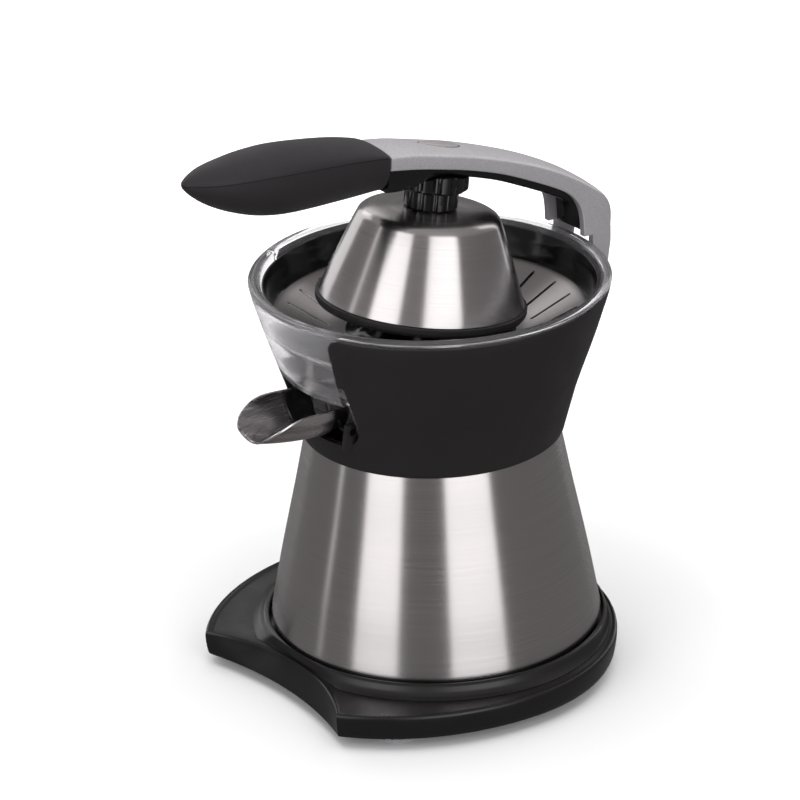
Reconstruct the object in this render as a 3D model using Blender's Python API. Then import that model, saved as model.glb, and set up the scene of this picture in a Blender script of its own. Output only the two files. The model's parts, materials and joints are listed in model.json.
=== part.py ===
"""Lever-arm citrus press juicer, built as separate solids.

Every length is in millimetres and MM turns it into Blender's metres. The juicer is modelled about the
reamer's vertical axis, with the spout and the handle towards -Y, and AXIS_Y then slides it so that the
middle of its box lies over the origin. The feet stand on Z = 0.
"""

import math

import bmesh
import bpy
from mathutils import Matrix, Vector

MM = 0.001
GAP = 0.3                    # between pieces that touch

# ---- driving dimensions ----
TIP_REACH = 155.2            # reamer axis to the tip of the grip
REAR_REACH = 112.8           # reamer axis to the back of the arm's post
AXIS_Y = (TIP_REACH - REAR_REACH) / 2

BASE_BOTTOM = 7.0            # underside of the base plate's wall
BASE_TOP = 21.0              # bead round the base plate
BASE_FLOOR = 24.0            # seat of the steel body
BASE_HALF_WIDTH = 110.8
BASE_FRONT = 126.5           # front half axis of the plate's egg shape
BASE_REAR = 103.5            # rear half axis
BASE_CENTRE = -8.0           # centre of the egg, along Y
CABLE_HEIGHT = 13.6          # gland in the back wall
SCALLOP_RADIUS = 119.0       # concave front edge
SCALLOP_DEPTH_Y = -95.5      # where its upper edge comes nearest to the axis
SCALLOP_LEAN = 8.5           # how much further out its lower edge stays
WALL_TAPER = 1.6             # the base's wall draws in this much towards the bottom
FEET = (("front_left", -66, -76), ("front_right", 66, -76), ("rear_left", -62, 54), ("rear_right", 62, 54))
BODY_FOOT_RADIUS = 91.0
BODY_TOP = 136.0
COLLAR_BOTTOM = 136.3
COLLAR_TOP = 221.5
DECK_TOP = 155.0
RIM_TOP = 225.0
RIM_RADIUS = 97.5
WINDOW_LEFT = -60.0          # the collar's window, in degrees from the front
WINDOW_RIGHT = 19.4
WINDOW_SILL = 177.0
LEDGE_TOP = 202.9            # step inside the bowl that carries the strainer
STRAINER_RADIUS = 85.4
STRAINER_FLOOR = 188.0       # underside of the strainer's flat middle
SHEET = 1.0                  # the strainer's thickness
LOBE_BOTTOM = 150.0          # spout opening below the window

PIVOT_Y = 103.0              # arm hinge
PIVOT_Z = 212.0
PIN_RADIUS = 3.0
ARM_HALF_WIDTH = 17.5
CHANNEL_HALF_WIDTH = 13.6
ARM_CROWN = 2.4

DOME_RIM_Y = -6.5            # centre of the dome's lip, arm at rest
DOME_RIM_Z = 207.9
DOME_TILT = 8.04             # degrees
DOME_RADIUS = 57.1
DOME_HEIGHT = 55.4

BUTTON_Y = 7.0
BUTTON_Z = 296.5
BUTTON_TILT = 15.2

SPOUT_PIVOT_Y = -71.0
SPOUT_PIVOT_Z = 160.0
SPOUT_AXIS_Z = 173.0
SPOUT_RADIUS = 20.1

GEAR_MODULE = 1.0
PINION_TEETH = 12
WHEEL_TEETH = 48
LEG_RADIUS = 52.0            # legs of the gear plate
LAYSHAFT_X = GEAR_MODULE * (PINION_TEETH + WHEEL_TEETH) / 2

ROUND = 36                   # sides of a large turned piece
SMALL = 16                   # sides of a small one


# ---- shape helpers: each returns a closed bmesh, in millimetres about the reamer axis ----

def skin(rings, closed=False):
    """Faces through rings of equal length; a ring of one point is a pole; open ends are capped."""
    bm = bmesh.new()
    loops = [[bm.verts.new(point) for point in ring] for ring in rings]
    pairs = list(zip(loops, loops[1:]))
    if closed:
        pairs.append((loops[-1], loops[0]))
    for low, high in pairs:
        count = max(len(low), len(high))
        for i in range(count):
            j = (i + 1) % count
            if len(low) == 1:
                bm.faces.new((low[0], high[j], high[i]))
            elif len(high) == 1:
                bm.faces.new((low[i], low[j], high[0]))
            else:
                bm.faces.new((low[i], low[j], high[j], high[i]))
    if not closed:
        for loop in (loops[0], loops[-1]):
            if len(loop) > 2:
                bm.faces.new(loop)
    bmesh.ops.recalc_face_normals(bm, faces=bm.faces)
    return bm


def circle(radius, z, sides):
    """Points of a level circle, or its centre when the radius is nothing."""
    if radius == 0:
        return [Vector((0, 0, z))]
    steps = [2 * math.pi * i / sides for i in range(sides)]
    return [Vector((radius * math.sin(a), -radius * math.cos(a), z)) for a in steps]


def turned(profile, sides=ROUND, closed=True):
    """A body of revolution about Z from (radius, z) points; closed joins the last point to the first."""
    return skin([circle(radius, z, sides) for radius, z in profile], closed)


def disc(radius, low, high, sides=SMALL):
    return skin([circle(radius, low, sides), circle(radius, high, sides)])


def tube(outer, inner, low, high, sides=SMALL):
    return turned([(outer, low), (outer, high), (inner, high), (inner, low)], sides)


def prism(outline, low, high):
    """An (x, y) outline raised from one level to another."""
    return skin([[Vector((x, y, z)) for x, y in outline] for z in (low, high)])


def side_prism(outline, left, right):
    """A (y, z) outline stretched along X."""
    return skin([[Vector((x, y, z)) for y, z in outline] for x in (left, right)])


def block(low, high):
    outline = [(low[0], low[1]), (high[0], low[1]), (high[0], high[1]), (low[0], high[1])]
    return prism(outline, low[2], high[2])


def cross_rod(radius, left, right, y, z, sides=SMALL):
    """A rod lying along X."""
    steps = [2 * math.pi * i / sides for i in range(sides)]
    return side_prism([(y + radius * math.cos(a), z + radius * math.sin(a)) for a in steps], left, right)


def moved(bm, x=0.0, y=0.0, z=0.0):
    bm.transform(Matrix.Translation((x, y, z)))
    return bm


def combined(base, tool, operation):
    """Boolean of two bodies; both are used up."""
    working = []
    for bm in (base, tool):
        mesh = bpy.data.meshes.new("working")
        bm.to_mesh(mesh)
        bm.free()
        obj = bpy.data.objects.new("working", mesh)
        bpy.context.scene.collection.objects.link(obj)
        working.append(obj)
    modifier = working[0].modifiers.new("combine", "BOOLEAN")
    modifier.operation = operation
    modifier.solver = "EXACT"
    modifier.object = working[1]
    result = bmesh.new()
    result.from_object(working[0], bpy.context.evaluated_depsgraph_get())
    for obj in working:
        mesh = obj.data
        bpy.data.objects.remove(obj)
        bpy.data.meshes.remove(mesh)
    bmesh.ops.remove_doubles(result, verts=result.verts, dist=0.002)
    return result


def joined(base, *tools):
    for tool in tools:
        base = combined(base, tool, "UNION")
    return base


def carved(base, *tools):
    for tool in tools:
        base = combined(base, tool, "DIFFERENCE")
    return base


def blend(table, x):
    """Straight-line reading of a table of (x, value) points."""
    for (x0, v0), (x1, v1) in zip(table, table[1:]):
        if x <= x1 or (x1, v1) == table[-1]:
            return v0 + (v1 - v0) * (x - x0) / (x1 - x0)
    return table[-1][1]


def coil(radius, wire, low, high, turns, steps=14, sides=5):
    """A helical spring about Z, standing between two levels."""
    rings = []
    count = turns * steps
    pitch = (high - low - 2 * wire) / turns
    for i in range(count + 1):
        angle = 2 * math.pi * i / steps
        centre = Vector((radius * math.cos(angle), radius * math.sin(angle), low + wire + pitch * i / steps))
        outward = Vector((math.cos(angle), math.sin(angle), 0))
        ring = []
        for k in range(sides):
            around = 2 * math.pi * k / sides
            ring.append(centre + outward * wire * math.cos(around) + Vector((0, 0, wire * math.sin(around))))
        rings.append(ring)
    return skin(rings)


def gear_outline(teeth, phase):
    """Teeth with involute widths and backlash; phase is the angle of the first tooth, in radians."""
    pitch = GEAR_MODULE * teeth / 2
    base = pitch * math.cos(math.radians(20))
    backlash = 0.3

    def half_angle(radius):
        roll = math.acos(min(1.0, base / radius))
        involute = math.tan(roll) - roll
        start = math.tan(math.radians(20)) - math.radians(20)
        return (math.pi * GEAR_MODULE / 2 - backlash) / (2 * pitch) + start - involute

    tip, root = pitch + 0.85 * GEAR_MODULE, pitch - 1.25 * GEAR_MODULE
    points = []
    for tooth in range(teeth):
        centre = phase + 2 * math.pi * tooth / teeth
        for side, radii in ((-1, (root, tip)), (1, (tip, root))):
            for radius in radii:
                angle = centre + side * half_angle(max(radius, base))
                points.append((radius * math.cos(angle), radius * math.sin(angle)))
    return points


# ---- bodies, materials and nodes ----

def clear_scene():
    for obj in list(bpy.data.objects):
        bpy.data.objects.remove(obj)


def finish(name, colour, roughness, metallic=0.0, alpha=1.0):
    """A Principled material."""
    made = bpy.data.materials.new(name)
    made.use_nodes = True
    shader = made.node_tree.nodes["Principled BSDF"]
    shader.inputs["Base Color"].default_value = (*colour, 1.0)
    shader.inputs["Roughness"].default_value = roughness
    shader.inputs["Metallic"].default_value = metallic
    shader.inputs["Alpha"].default_value = alpha
    made.diffuse_color = (*colour, alpha)
    return made


def pivot(name, x, y, z):
    """An empty on a joint's axis, which carries the pieces that move about it."""
    empty = bpy.data.objects.new(name, None)
    empty.location = Vector((x, y + AXIS_Y, z)) * MM
    bpy.context.scene.collection.objects.link(empty)
    return empty


def node(name, bm, material, body=None):
    """Turns a bmesh into a named object, placed under its body's pivot."""
    bm.transform(Matrix.Scale(MM, 4) @ Matrix.Translation((0, AXIS_Y, 0)))
    if body is not None:
        bm.transform(Matrix.Translation(-body.location))
    mesh = bpy.data.meshes.new(name)
    bm.to_mesh(mesh)
    bm.free()
    mesh.shade_smooth()
    mesh.set_sharp_from_angle(angle=math.radians(35))
    mesh.materials.append(material)
    obj = bpy.data.objects.new(name, mesh)
    obj.parent = body
    bpy.context.scene.collection.objects.link(obj)
    return obj


# ---- base ----

def shield(inset=0.0, lean=0.0):
    """Outline of the base plate: an egg shape with a concave front between two wing corners.

    The concave front grows shallower as lean goes from 0, its upper edge, to 1, its lower edge.
    """
    half_width = BASE_HALF_WIDTH - inset
    front, rear = BASE_FRONT - inset, BASE_REAR - inset
    centre = SCALLOP_DEPTH_Y - SCALLOP_RADIUS
    radius = SCALLOP_RADIUS + inset

    def egg(angle):
        depth = front if math.cos(angle) > 0 else rear
        return half_width * math.sin(angle), BASE_CENTRE - depth * math.cos(angle)

    low, high = 0.1, 1.5
    for _ in range(40):
        corner = (low + high) / 2
        x, y = egg(corner)
        if math.hypot(x, y - centre) < radius:
            low = corner
        else:
            high = corner
    corner_x, corner_y = egg(corner)
    nearest = SCALLOP_DEPTH_Y + inset - SCALLOP_LEAN * lean
    depth = nearest - corner_y
    radius = (corner_x ** 2 + depth ** 2) / (2 * depth)
    centre = nearest - radius
    sweep = math.atan2(corner_x, corner_y - centre)
    arc_steps, egg_steps = 9, 33
    points = []
    for i in range(arc_steps):
        angle = sweep * (2 * i / arc_steps - 1)
        points.append((radius * math.sin(angle), centre + radius * math.cos(angle)))
    for i in range(egg_steps):
        angle = corner + (2 * math.pi - 2 * corner) * i / egg_steps
        points.append(egg(angle))
    return points


def base_plate():
    """Moulded shield with a bead, a shallow channel, a ring round the body's foot and an open underside."""
    outline = shield()
    foot_outline = shield(lean=1.0)
    ring_radius = BODY_FOOT_RADIUS + 1.2
    # (inset from the edge, share of the width to the ring, level)
    outer_steps = [(0, 0, 19.6), (1.2, 0.2, BASE_TOP), (3.5, 0.35, BASE_TOP),
                   (5.5, 0.45, 19.6)]
    # (distance out from the ring, share of the width to the edge, level)
    ring_steps = [(9.0, 0.5, 19.9), (4.5, 0.4, 22.4), (2.6, 0.25, 26.0), (0.0, 0.0, 26.0)]

    def scaled(point, radius, z):
        length = math.hypot(*point)
        return Vector((point[0] * radius / length, point[1] * radius / length, z))

    rings = [[scaled(p, math.hypot(*p) - 3.0, 17.5) for p in shield(lean=0.2)]]
    for inset in (WALL_TAPER + 1.8, WALL_TAPER):
        rings.append([scaled(p, math.hypot(*p) - inset, BASE_BOTTOM) for p in foot_outline])
    for inset, share, z in outer_steps:
        rings.append([scaled(p, math.hypot(*p) - min(inset, share * (math.hypot(*p) - ring_radius)), z)
                      for p in outline])
    for step, share, z in ring_steps:
        rings.append([scaled(p, ring_radius + min(step, share * (math.hypot(*p) - ring_radius)), z)
                      for p in outline])
    rings.append([scaled(p, ring_radius, BASE_FLOOR) for p in outline])
    cable_way = disc(4.6, 80, 110)
    cable_way.transform(Matrix.Rotation(math.radians(-90), 4, "X"))
    return carved(skin(rings), moved(cable_way, 0, 0, CABLE_HEIGHT))


def bottom_cover():
    return prism([(x * 0.955, y * 0.955) for x, y in shield(0.5, 0.7)], BASE_BOTTOM + 0.4, BASE_BOTTOM + 2.9)


def cable_gland():
    """Grommet in the back wall of the base, where a mains lead would enter."""
    wall = BASE_CENTRE + BASE_REAR
    gland = turned([(4.3, -3.5), (4.3, GAP), (6.4, GAP), (6.4, 2.0), (4.6, 3.6), (2.6, 3.6), (2.6, -3.5)], 14)
    gland.transform(Matrix.Rotation(math.radians(-90), 4, "X"))
    return moved(gland, 0, wall, CABLE_HEIGHT)


def suction_foot(x, y):
    profile = [(0, 2.0), (5.4, 1.4), (6.4, 0), (11.6, 0), (11.6, 1.2), (6.5, 4.0), (6.5, 7.1), (0, 7.1)]
    return moved(turned(profile, 18, closed=False), x, y)


def body_shell():
    """Brushed steel cone with a slightly rolled foot."""
    outer = [(90.4, 24.4), (BODY_FOOT_RADIUS, 27), (88.8, 40), (85.2, 58.5), (80.5, 81), (75.7, 103),
             (69.0, BODY_TOP)]
    inner = [(67.8, BODY_TOP), (79.3, 81), (87.6, 40), (89.2, 24.4)]
    return turned(outer + inner)


# ---- collar ----

COLLAR_OUTER = [(71.5, COLLAR_BOTTOM), (75.6, 152), (78.6, 163), (82.2, 174), (86.2, 185.5), (90.4, 198),
                (97.2, COLLAR_TOP)]
COLLAR_WALL = 3.0
SPOUT_CHEEK = [(-77.5, 151.0), (-66.6, 151.0), (-66.6, 164.5), (-75.0, 164.5)]     # (y, z)


def collar_radius(z):
    return blend([(level, radius) for radius, level in COLLAR_OUTER], z)


def sector(radius_out, radius_in, levels, start, end, steps):
    """Part of a ring between two angles in degrees from the front, with radii that follow the level."""
    rings = []
    for z in levels:
        angles = [math.radians(start + (end - start) * i / steps) for i in range(steps + 1)]
        outer = [Vector((radius_out(z) * math.sin(a), -radius_out(z) * math.cos(a), z)) for a in angles]
        angles.reverse()
        inner = [Vector((radius_in(z) * math.sin(a), -radius_in(z) * math.cos(a), z)) for a in angles]
        rings.append(outer + inner)
    return skin(rings)


def lobe_outline():
    """Rounded foot of the collar's window, where the spout comes out, as (x, z)."""
    left, right, radius, top = -27.0, 32.5, 17.0, 190.0
    points = [(right, top), (left, top)]
    for centre, start in ((left + radius, 180), (right - radius, 270)):
        for step in range(5):
            angle = math.radians(start + 22.5 * step)
            height = LOBE_BOTTOM + radius + radius * math.sin(angle)
            points.append((centre + radius * math.cos(angle), height))
    return points


def collar_housing():
    """Black funnel with its deck and hub, window, rear spine and hinge lug."""
    wall = [(radius - COLLAR_WALL, z) for radius, z in reversed(COLLAR_OUTER) if z > DECK_TOP]
    foot = collar_radius(DECK_TOP) - COLLAR_WALL
    inside = wall + [(foot, DECK_TOP), (12, DECK_TOP), (12, 172), (8, 172), (8, DECK_TOP - 3),
                     (foot - 1.5, DECK_TOP - 3), (COLLAR_OUTER[0][0] - COLLAR_WALL, COLLAR_BOTTOM)]
    shell = turned(COLLAR_OUTER + inside)
    spine_out = [(79.5, COLLAR_BOTTOM + 2), (83.0, 149), (88.5, 160), (94.5, 174), (101.5, 190), (105.5, 203)]
    spine_in = [(collar_radius(z) - 2.6, z) for z in (203, 174, COLLAR_BOTTOM + 2)]
    spine = side_prism(spine_out + spine_in, -17.3, 17.3)
    lug_radius = 5.7
    lug = [(PIVOT_Y - lug_radius, 200), (PIVOT_Y + 2.0, 200)]
    for step in range(9):
        angle = math.radians(22.5 * step)
        lug.append((PIVOT_Y + lug_radius * math.cos(angle), PIVOT_Z + lug_radius * math.sin(angle)))
    window = sector(lambda z: 110, lambda z: collar_radius(z) - 8, (WINDOW_SILL, 190, 205, 225),
                    WINDOW_LEFT, WINDOW_RIGHT, 6)
    lobe = skin([[Vector((x, y, z)) for x, z in lobe_outline()] for y in (-64.5, -100)])
    shell = joined(shell, spine, side_prism(lug, -13.1, 13.1))
    shell = carved(shell, window, lobe, cross_rod(PIN_RADIUS + 0.1, -14, 14, PIVOT_Y, PIVOT_Z))
    shell = joined(shell, side_prism(SPOUT_CHEEK, 22.6, 25.2), side_prism(SPOUT_CHEEK, -25.2, -22.6))
    return carved(shell, cross_rod(2.1, -26, 26, SPOUT_PIVOT_Y, SPOUT_PIVOT_Z, 12))


# ---- bowl, strainer, reamer ----

def bowl_outside(z):
    return collar_radius(z) - COLLAR_WALL - 0.5


def juice_bowl():
    """Clear bowl: wall inside the collar, bay filling the window, outlet chamber and hub tube."""
    levels = [COLLAR_TOP - 1, 198, 185.5, 174, 163]
    outside = [(RIM_RADIUS - 0.8, COLLAR_TOP + 0.6), (bowl_outside(levels[0]), COLLAR_TOP + 0.4)]
    outside += [(bowl_outside(z), z) for z in levels]
    floor = DECK_TOP + 0.5
    outside += [(bowl_outside(floor), floor), (13, floor), (13, 186), (15.2, 186), (15.2, floor + 2.5)]
    inside = [(bowl_outside(floor) - 3, floor + 2.5), (bowl_outside(163) - 2.4, 163.5),
              (bowl_outside(185.5) - 2.6, 185.5), (83.4, 199), (83.4, LEDGE_TOP),
              (STRAINER_RADIUS + 0.5, LEDGE_TOP), (88.4, 212), (91.0, RIM_TOP - 3), (93.6, RIM_TOP),
              (96.4, RIM_TOP - 0.5), (RIM_RADIUS, RIM_TOP - 1.6)]
    shell = turned(outside + inside)
    bay_levels = (WINDOW_SILL + 0.6, 185.5, 198, RIM_TOP - 2.6)
    bay = sector(collar_radius, lambda z: bowl_outside(z) - 1.2, bay_levels,
                 WINDOW_LEFT + 0.4, WINDOW_RIGHT - 0.4, 9)
    solid = turned([(0, floor)] + [(bowl_outside(z), z) for z in (floor, 163, 174, 185.5)] + [(0, 185.5)],
                   closed=False)
    chamber = combined(block((-29, -95, 150), (29, -63.6, 179.8)), solid, "INTERSECT")
    nozzle = disc(8.0, 0, 16)
    nozzle.transform(Matrix.Rotation(math.radians(90), 4, "X"))
    shell = joined(shell, bay, chamber)
    shell = carved(shell, block((-26.8, -110, 140), (26.8, -66.0, WINDOW_SILL + 0.5)))
    shell = joined(shell, moved(nozzle, 0, -64.5, 166.2))
    outlet = disc(6.2, 0, 40)
    outlet.transform(Matrix.Rotation(math.radians(90), 4, "X"))
    return carved(shell, moved(outlet, 0, -52, 166.2))


def strainer():
    """Pressed steel dish with radial slots."""
    seat, bend, hole = LEDGE_TOP + GAP, 54.0, 17.5
    dish = turned([(STRAINER_RADIUS, seat), (STRAINER_RADIUS, seat + SHEET), (82.4, seat + SHEET),
                   (bend, STRAINER_FLOOR + SHEET), (hole, STRAINER_FLOOR + SHEET), (hole, STRAINER_FLOOR),
                   (bend + 0.3, STRAINER_FLOOR), (82.7, seat)])
    slot_count = 26
    slots = bmesh.new()
    for i in range(slot_count):
        slot = block((58, -0.8, 180), (78, 0.8, 220))
        slot.transform(Matrix.Rotation(2 * math.pi * i / slot_count, 4, "Z"))
        mesh = bpy.data.meshes.new("slot")
        slot.to_mesh(mesh)
        slot.free()
        slots.from_mesh(mesh)
        bpy.data.meshes.remove(mesh)
    return carved(dish, slots)


def reamer():
    """Ribbed cone on a wide skirt, hollow below, with a hexagonal socket."""
    ribs, sides = 8, 32
    outer = [(46.0, 192.2, 0.0), (46.0, 193.6, 0.0), (40.0, 195.8, 0.02), (34.5, 206, 0.09),
             (28.5, 217, 0.11), (21.0, 227.5, 0.12), (12.0, 235.5, 0.10)]
    rings = []
    for radius, z, depth in outer:
        ring = []
        for i in range(sides):
            angle = 2 * math.pi * i / sides
            reach = radius * (1 - depth * (0.5 - 0.5 * math.cos(ribs * angle)))
            ring.append(Vector((reach * math.sin(angle), -reach * math.cos(angle), z)))
        rings.append(ring)
    under = [(43.5, 192.2), (36.0, 194.8), (28.0, 205.5), (21.5, 216), (7.6, 226), (7.6, 183.5), (5.6, 183.5),
             (5.6, 200.5)]
    rings = [[Vector((0, 0, 239.5))]] + rings[::-1]
    rings += [circle(r, z, sides) for r, z in under] + [[Vector((0, 0, 200.5))]]
    return skin(rings)


# ---- drive ----

def leg_place(index):
    """Where a leg of the gear plate stands."""
    angle = math.radians(90 + 120 * index)
    return LEG_RADIUS * math.cos(angle), LEG_RADIUS * math.sin(angle)


def gear_plate():
    """Plate that carries the motor and the gears, on three legs."""
    legs = [moved(disc(3.2, 30, 81, 12), *leg_place(i)) for i in range(3)]
    plate = joined(disc(60, 80, 84, ROUND), *legs)
    return carved(plate, disc(5.5, 70, 90), moved(disc(2.3, 70, 90, 12), LAYSHAFT_X))


def drive_shaft():
    """Round shaft with a hexagonal head that the reamer drops over."""
    sides = 24

    def head(z):
        ring = []
        for i in range(sides):
            angle = 2 * math.pi * i / sides
            reach = 4.5 / math.cos((angle + math.pi / 6) % (math.pi / 3) - math.pi / 6)
            ring.append(Vector((reach * math.sin(angle), -reach * math.cos(angle), z)))
        return ring

    return skin([circle(4, 99.2, sides), circle(4, 179, sides), head(179.5), head(197)])


def output_gear():
    gear = joined(prism(gear_outline(WHEEL_TEETH, 0), 99, 107), disc(9, 106.5, 109.2))
    return carved(gear, disc(4.3, 90, 120))


def cluster_gear():
    wheel = prism(gear_outline(WHEEL_TEETH, math.radians(180 / WHEEL_TEETH)), 87, 95)
    pinion = prism(gear_outline(PINION_TEETH, math.radians(180 / PINION_TEETH)), 93, 113)
    return moved(carved(joined(wheel, pinion), disc(2.3, 80, 120)), LAYSHAFT_X)


def fan():
    """Cooling fan: a disc with straight blades."""
    blades, blade_points = 8, []
    for i in range(blades):
        for radius, turn in ((9, -4.0), (28.5, -1.3), (28.5, 1.3), (9, 4.0)):
            angle = math.radians(45 * i + turn)
            blade_points.append((radius * math.cos(angle), radius * math.sin(angle)))
    return carved(joined(disc(30, 30, 31.6, 32), prism(blade_points, 31, 38)), disc(3.3, 20, 50))


def gear_cover():
    """Cup over the gears, with a bore for the shaft's bush."""
    return turned([(60, 84.3), (60, 117.5), (7.7, 117.5), (7.7, 114.5), (57.5, 114.5), (57.5, 84.3)])


def thrust_cup():
    """Non-turning washer on the return spring, with the finger that works the switch."""
    arm = block((-36, -4, 128), (-8, 4, 131))
    return carved(joined(disc(12.5, 128, 131), arm), disc(4.5, 120, 140))


def switch_body():
    return carved(block((-50, -8, 117.8), (-26, 8, 125.2)), block((-35.8, -2.8, 119), (-30.2, 2.8, 130)))


# ---- spout ----

def trough(stations, sides=10):
    """Half-round channel: stations are (y, axis height, outer radius, inner radius, half angle)."""
    rings = []
    for y, axis, outer, inside, half in stations:
        angles = [math.radians(half * (2 * i / sides - 1)) for i in range(sides + 1)]
        out = [Vector((outer * math.sin(a), y, axis - outer * math.cos(a))) for a in angles]
        back = [Vector((inside * math.sin(a), y, axis - inside * math.cos(a))) for a in reversed(angles)]
        rings.append(out + back)
    return skin(rings)


def spout_rise(y):
    """Height of the trough's axis: it climbs a little, and more at the lip."""
    out = -79.0 - y
    return SPOUT_AXIS_Z + 0.05 * out + 0.0028 * max(out, 0) ** 2


def spout_scoop():
    """Steel scoop with an oblique, rounded lip."""
    stations = []
    lip = ((-79.0, 88), (-90.0, 88), (-99.0, 86), (-106.0, 78), (-112.0, 66), (-116.5, 52), (-119.5, 36))
    for y, half in lip:
        stations.append((y, spout_rise(y), SPOUT_RADIUS, SPOUT_RADIUS - 1.4, half))
    return trough(stations)


def spout_root():
    """Black pivoting end of the spout, with a stub axle on each side."""
    axis = SPOUT_AXIS_Z
    stations = [(-69.0, axis, 20.1, 17.4, 86), (-78.6, axis, 20.1, 17.4, 88), (-78.7, axis, 18.3, 17.4, 88),
                (-83.0, axis + 0.2, 18.3, 17.4, 88)]
    stubs = []
    for side in (-1, 1):
        stubs.append(cross_rod(1.8, side * 19 - 5.8, side * 19 + 5.8, SPOUT_PIVOT_Y, SPOUT_PIVOT_Z, 12))
    return joined(trough(stations), *stubs)


# ---- arm ----

# Upper and lower edges of the arm's flat side, as (y, z), from the grip to the foot of the post.
ARM_STATIONS = [
    ((-35.9, 303.6), (-36.5, 296.2)), ((-17.8, 300.5), (-19.6, 293.1)), ((1.7, 295.5), (-0.5, 288.5)),
    ((21.5, 290.0), (18.9, 283.1)), ((42.0, 283.0), (38.6, 276.2)), ((61.7, 275.2), (57.4, 267.7)),
    ((79.0, 266.6), (73.0, 260.0)), ((91.5, 259.0), (82.2, 254.2)), ((100.3, 252.9), (87.7, 248.2)),
    ((107.3, 247.2), (90.4, 242.5)), ((110.8, 240.0), (91.6, 236.5)), ((111.0, 231.5), (92.0, 230.5)),
    ((110.5, 227.4), (92.1, 227.4))]
ARM_CROWNS = [2.4, 2.4, 2.4, 2.4, 2.4, 2.4, 2.6, 3.0, 3.0, 2.6, 2.0, 1.6, 1.3]
# How far the black underside hangs below each station; it is deepest between the grip and the stem.
LINER_DROPS = [13.5, 12.0, 4.6, 4.6, 4.6, 4.6, 4.6, 4.2, 2.2]


def arm_point(station, x, along, out=0.0):
    """A point on a station: along runs 0 to 1 from the lower to the upper edge, out goes beyond it."""
    upper, lower = station
    edge = Vector((0, upper[0] - lower[0], upper[1] - lower[1]))
    start = Vector((x, lower[0], lower[1]))
    return start + edge * along + edge.normalized() * out


def arm_shell():
    """Die-cast channel with a crowned top, which turns down into the post and ends in two cheeks."""
    wall = 3.2
    rings = []
    for station, crown in zip(ARM_STATIONS, ARM_CROWNS):
        ring = [arm_point(station, -ARM_HALF_WIDTH, 0)]
        for step in range(9):
            x = ARM_HALF_WIDTH * (step / 4 - 1)
            ring.append(arm_point(station, x, 1, crown * (1 - (x / ARM_HALF_WIDTH) ** 2)))
        ring.append(arm_point(station, ARM_HALF_WIDTH, 0))
        ring.append(arm_point(station, CHANNEL_HALF_WIDTH, 0))
        ring.append(arm_point(station, CHANNEL_HALF_WIDTH, 1, -wall))
        ring.append(arm_point(station, -CHANNEL_HALF_WIDTH, 1, -wall))
        ring.append(arm_point(station, -CHANNEL_HALF_WIDTH, 0))
        rings.append(ring)
    shell = skin(rings)
    radius = 6.0
    rear = ARM_STATIONS[-1][0][0]
    cheek = [(rear, 230.2), (98.2, 230.2), (98.2, 216)]
    for step in range(9):
        angle = math.radians(180 + 22.5 * step)
        cheek.append((PIVOT_Y + radius * math.cos(angle), PIVOT_Z + radius * math.sin(angle)))
    cheek.append((rear, 221))
    shell = joined(shell, side_prism(cheek, CHANNEL_HALF_WIDTH, ARM_HALF_WIDTH),
                   side_prism(cheek, -ARM_HALF_WIDTH, -CHANNEL_HALF_WIDTH))
    pocket = prism(button_outline(0.35), -9, 9)
    pocket.transform(button_frame())
    return carved(shell, cross_rod(PIN_RADIUS + 0.1, -15.6, 15.6, PIVOT_Y, PIVOT_Z), pocket)


def arm_liner():
    """Black moulding that closes the underside of the arm and hangs a little below its sides."""
    rings = []
    half = CHANNEL_HALF_WIDTH - GAP
    stations = [((-33.4, 303.1), (-34.0, 295.7))] + ARM_STATIONS[1:9]
    for station, drop in zip(stations, LINER_DROPS):
        rings.append([arm_point(station, half, 1, -3.6), arm_point(station, half, 0, -drop),
                      arm_point(station, -half, 0, -drop), arm_point(station, -half, 1, -3.6)])
    way = joined(disc(4.2, -11, -2), disc(2.2, -40, -10))
    way.transform(button_frame())
    return carved(skin(rings), way)


def post_liner():
    """Black channel moulding inside the post."""
    half = CHANNEL_HALF_WIDTH - GAP
    rings = []
    for station in ARM_STATIONS[9:]:
        rings.append([arm_point(station, half, 1, -3.6), arm_point(station, half, 0, 5.0),
                      arm_point(station, -half, 0, 5.0), arm_point(station, -half, 1, -3.6)])
    return skin(rings)


# Grip stations: (y, half width, level of the side ridge, crown above it, depth below it).
GRIP_STATIONS = [
    (-36.9, 17.5, 303.3, 2.6, 21.6), (-41.0, 18.0, 304.3, 4.9, 22.4), (-61.0, 19.0, 307.0, 7.4, 25.0),
    (-92.0, 19.5, 309.7, 9.7, 26.8), (-111.0, 18.5, 310.9, 9.2, 25.0), (-127.0, 15.6, 311.2, 8.2, 19.8),
    (-140.0, 11.6, 311.4, 6.8, 13.4), (-148.5, 7.0, 311.6, 4.4, 7.4), (-153.5, 3.2, 311.8, 2.0, 2.6),
    (-TIP_REACH, 1.0, 312.0, 0.6, 0.8)]


def grip_half(top):
    """Upper or lower shell of the soft grip; the two meet at the ridge along its sides."""
    steps = 10
    rings = []
    for y, half, ridge, crown, depth in GRIP_STATIONS:
        ring = []
        for i in range(steps + 1):
            angle = math.pi * i / steps
            rise = crown * math.sin(angle) + GAP / 2 if top else -depth * math.sin(angle) ** 0.8 - GAP / 2
            ring.append(Vector((half * math.cos(angle), y, ridge + rise)))
        rings.append(ring)
    return skin(rings)


# ---- release button ----

def button_frame():
    return Matrix.Translation((0, BUTTON_Y, BUTTON_Z)) @ Matrix.Rotation(math.radians(-BUTTON_TILT), 4, "X")


def button_outline(grow=0.0):
    """Teardrop: a round rear end and a drawn-out front."""
    points = []
    for i in range(24):
        angle = 2 * math.pi * i / 24
        along = 13.0 * math.cos(angle)
        width = 5.6 * math.sin(angle) * (1 + 0.35 * math.cos(angle))
        points.append((width + grow * math.sin(angle), along + grow * math.cos(angle)))
    return points


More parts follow.
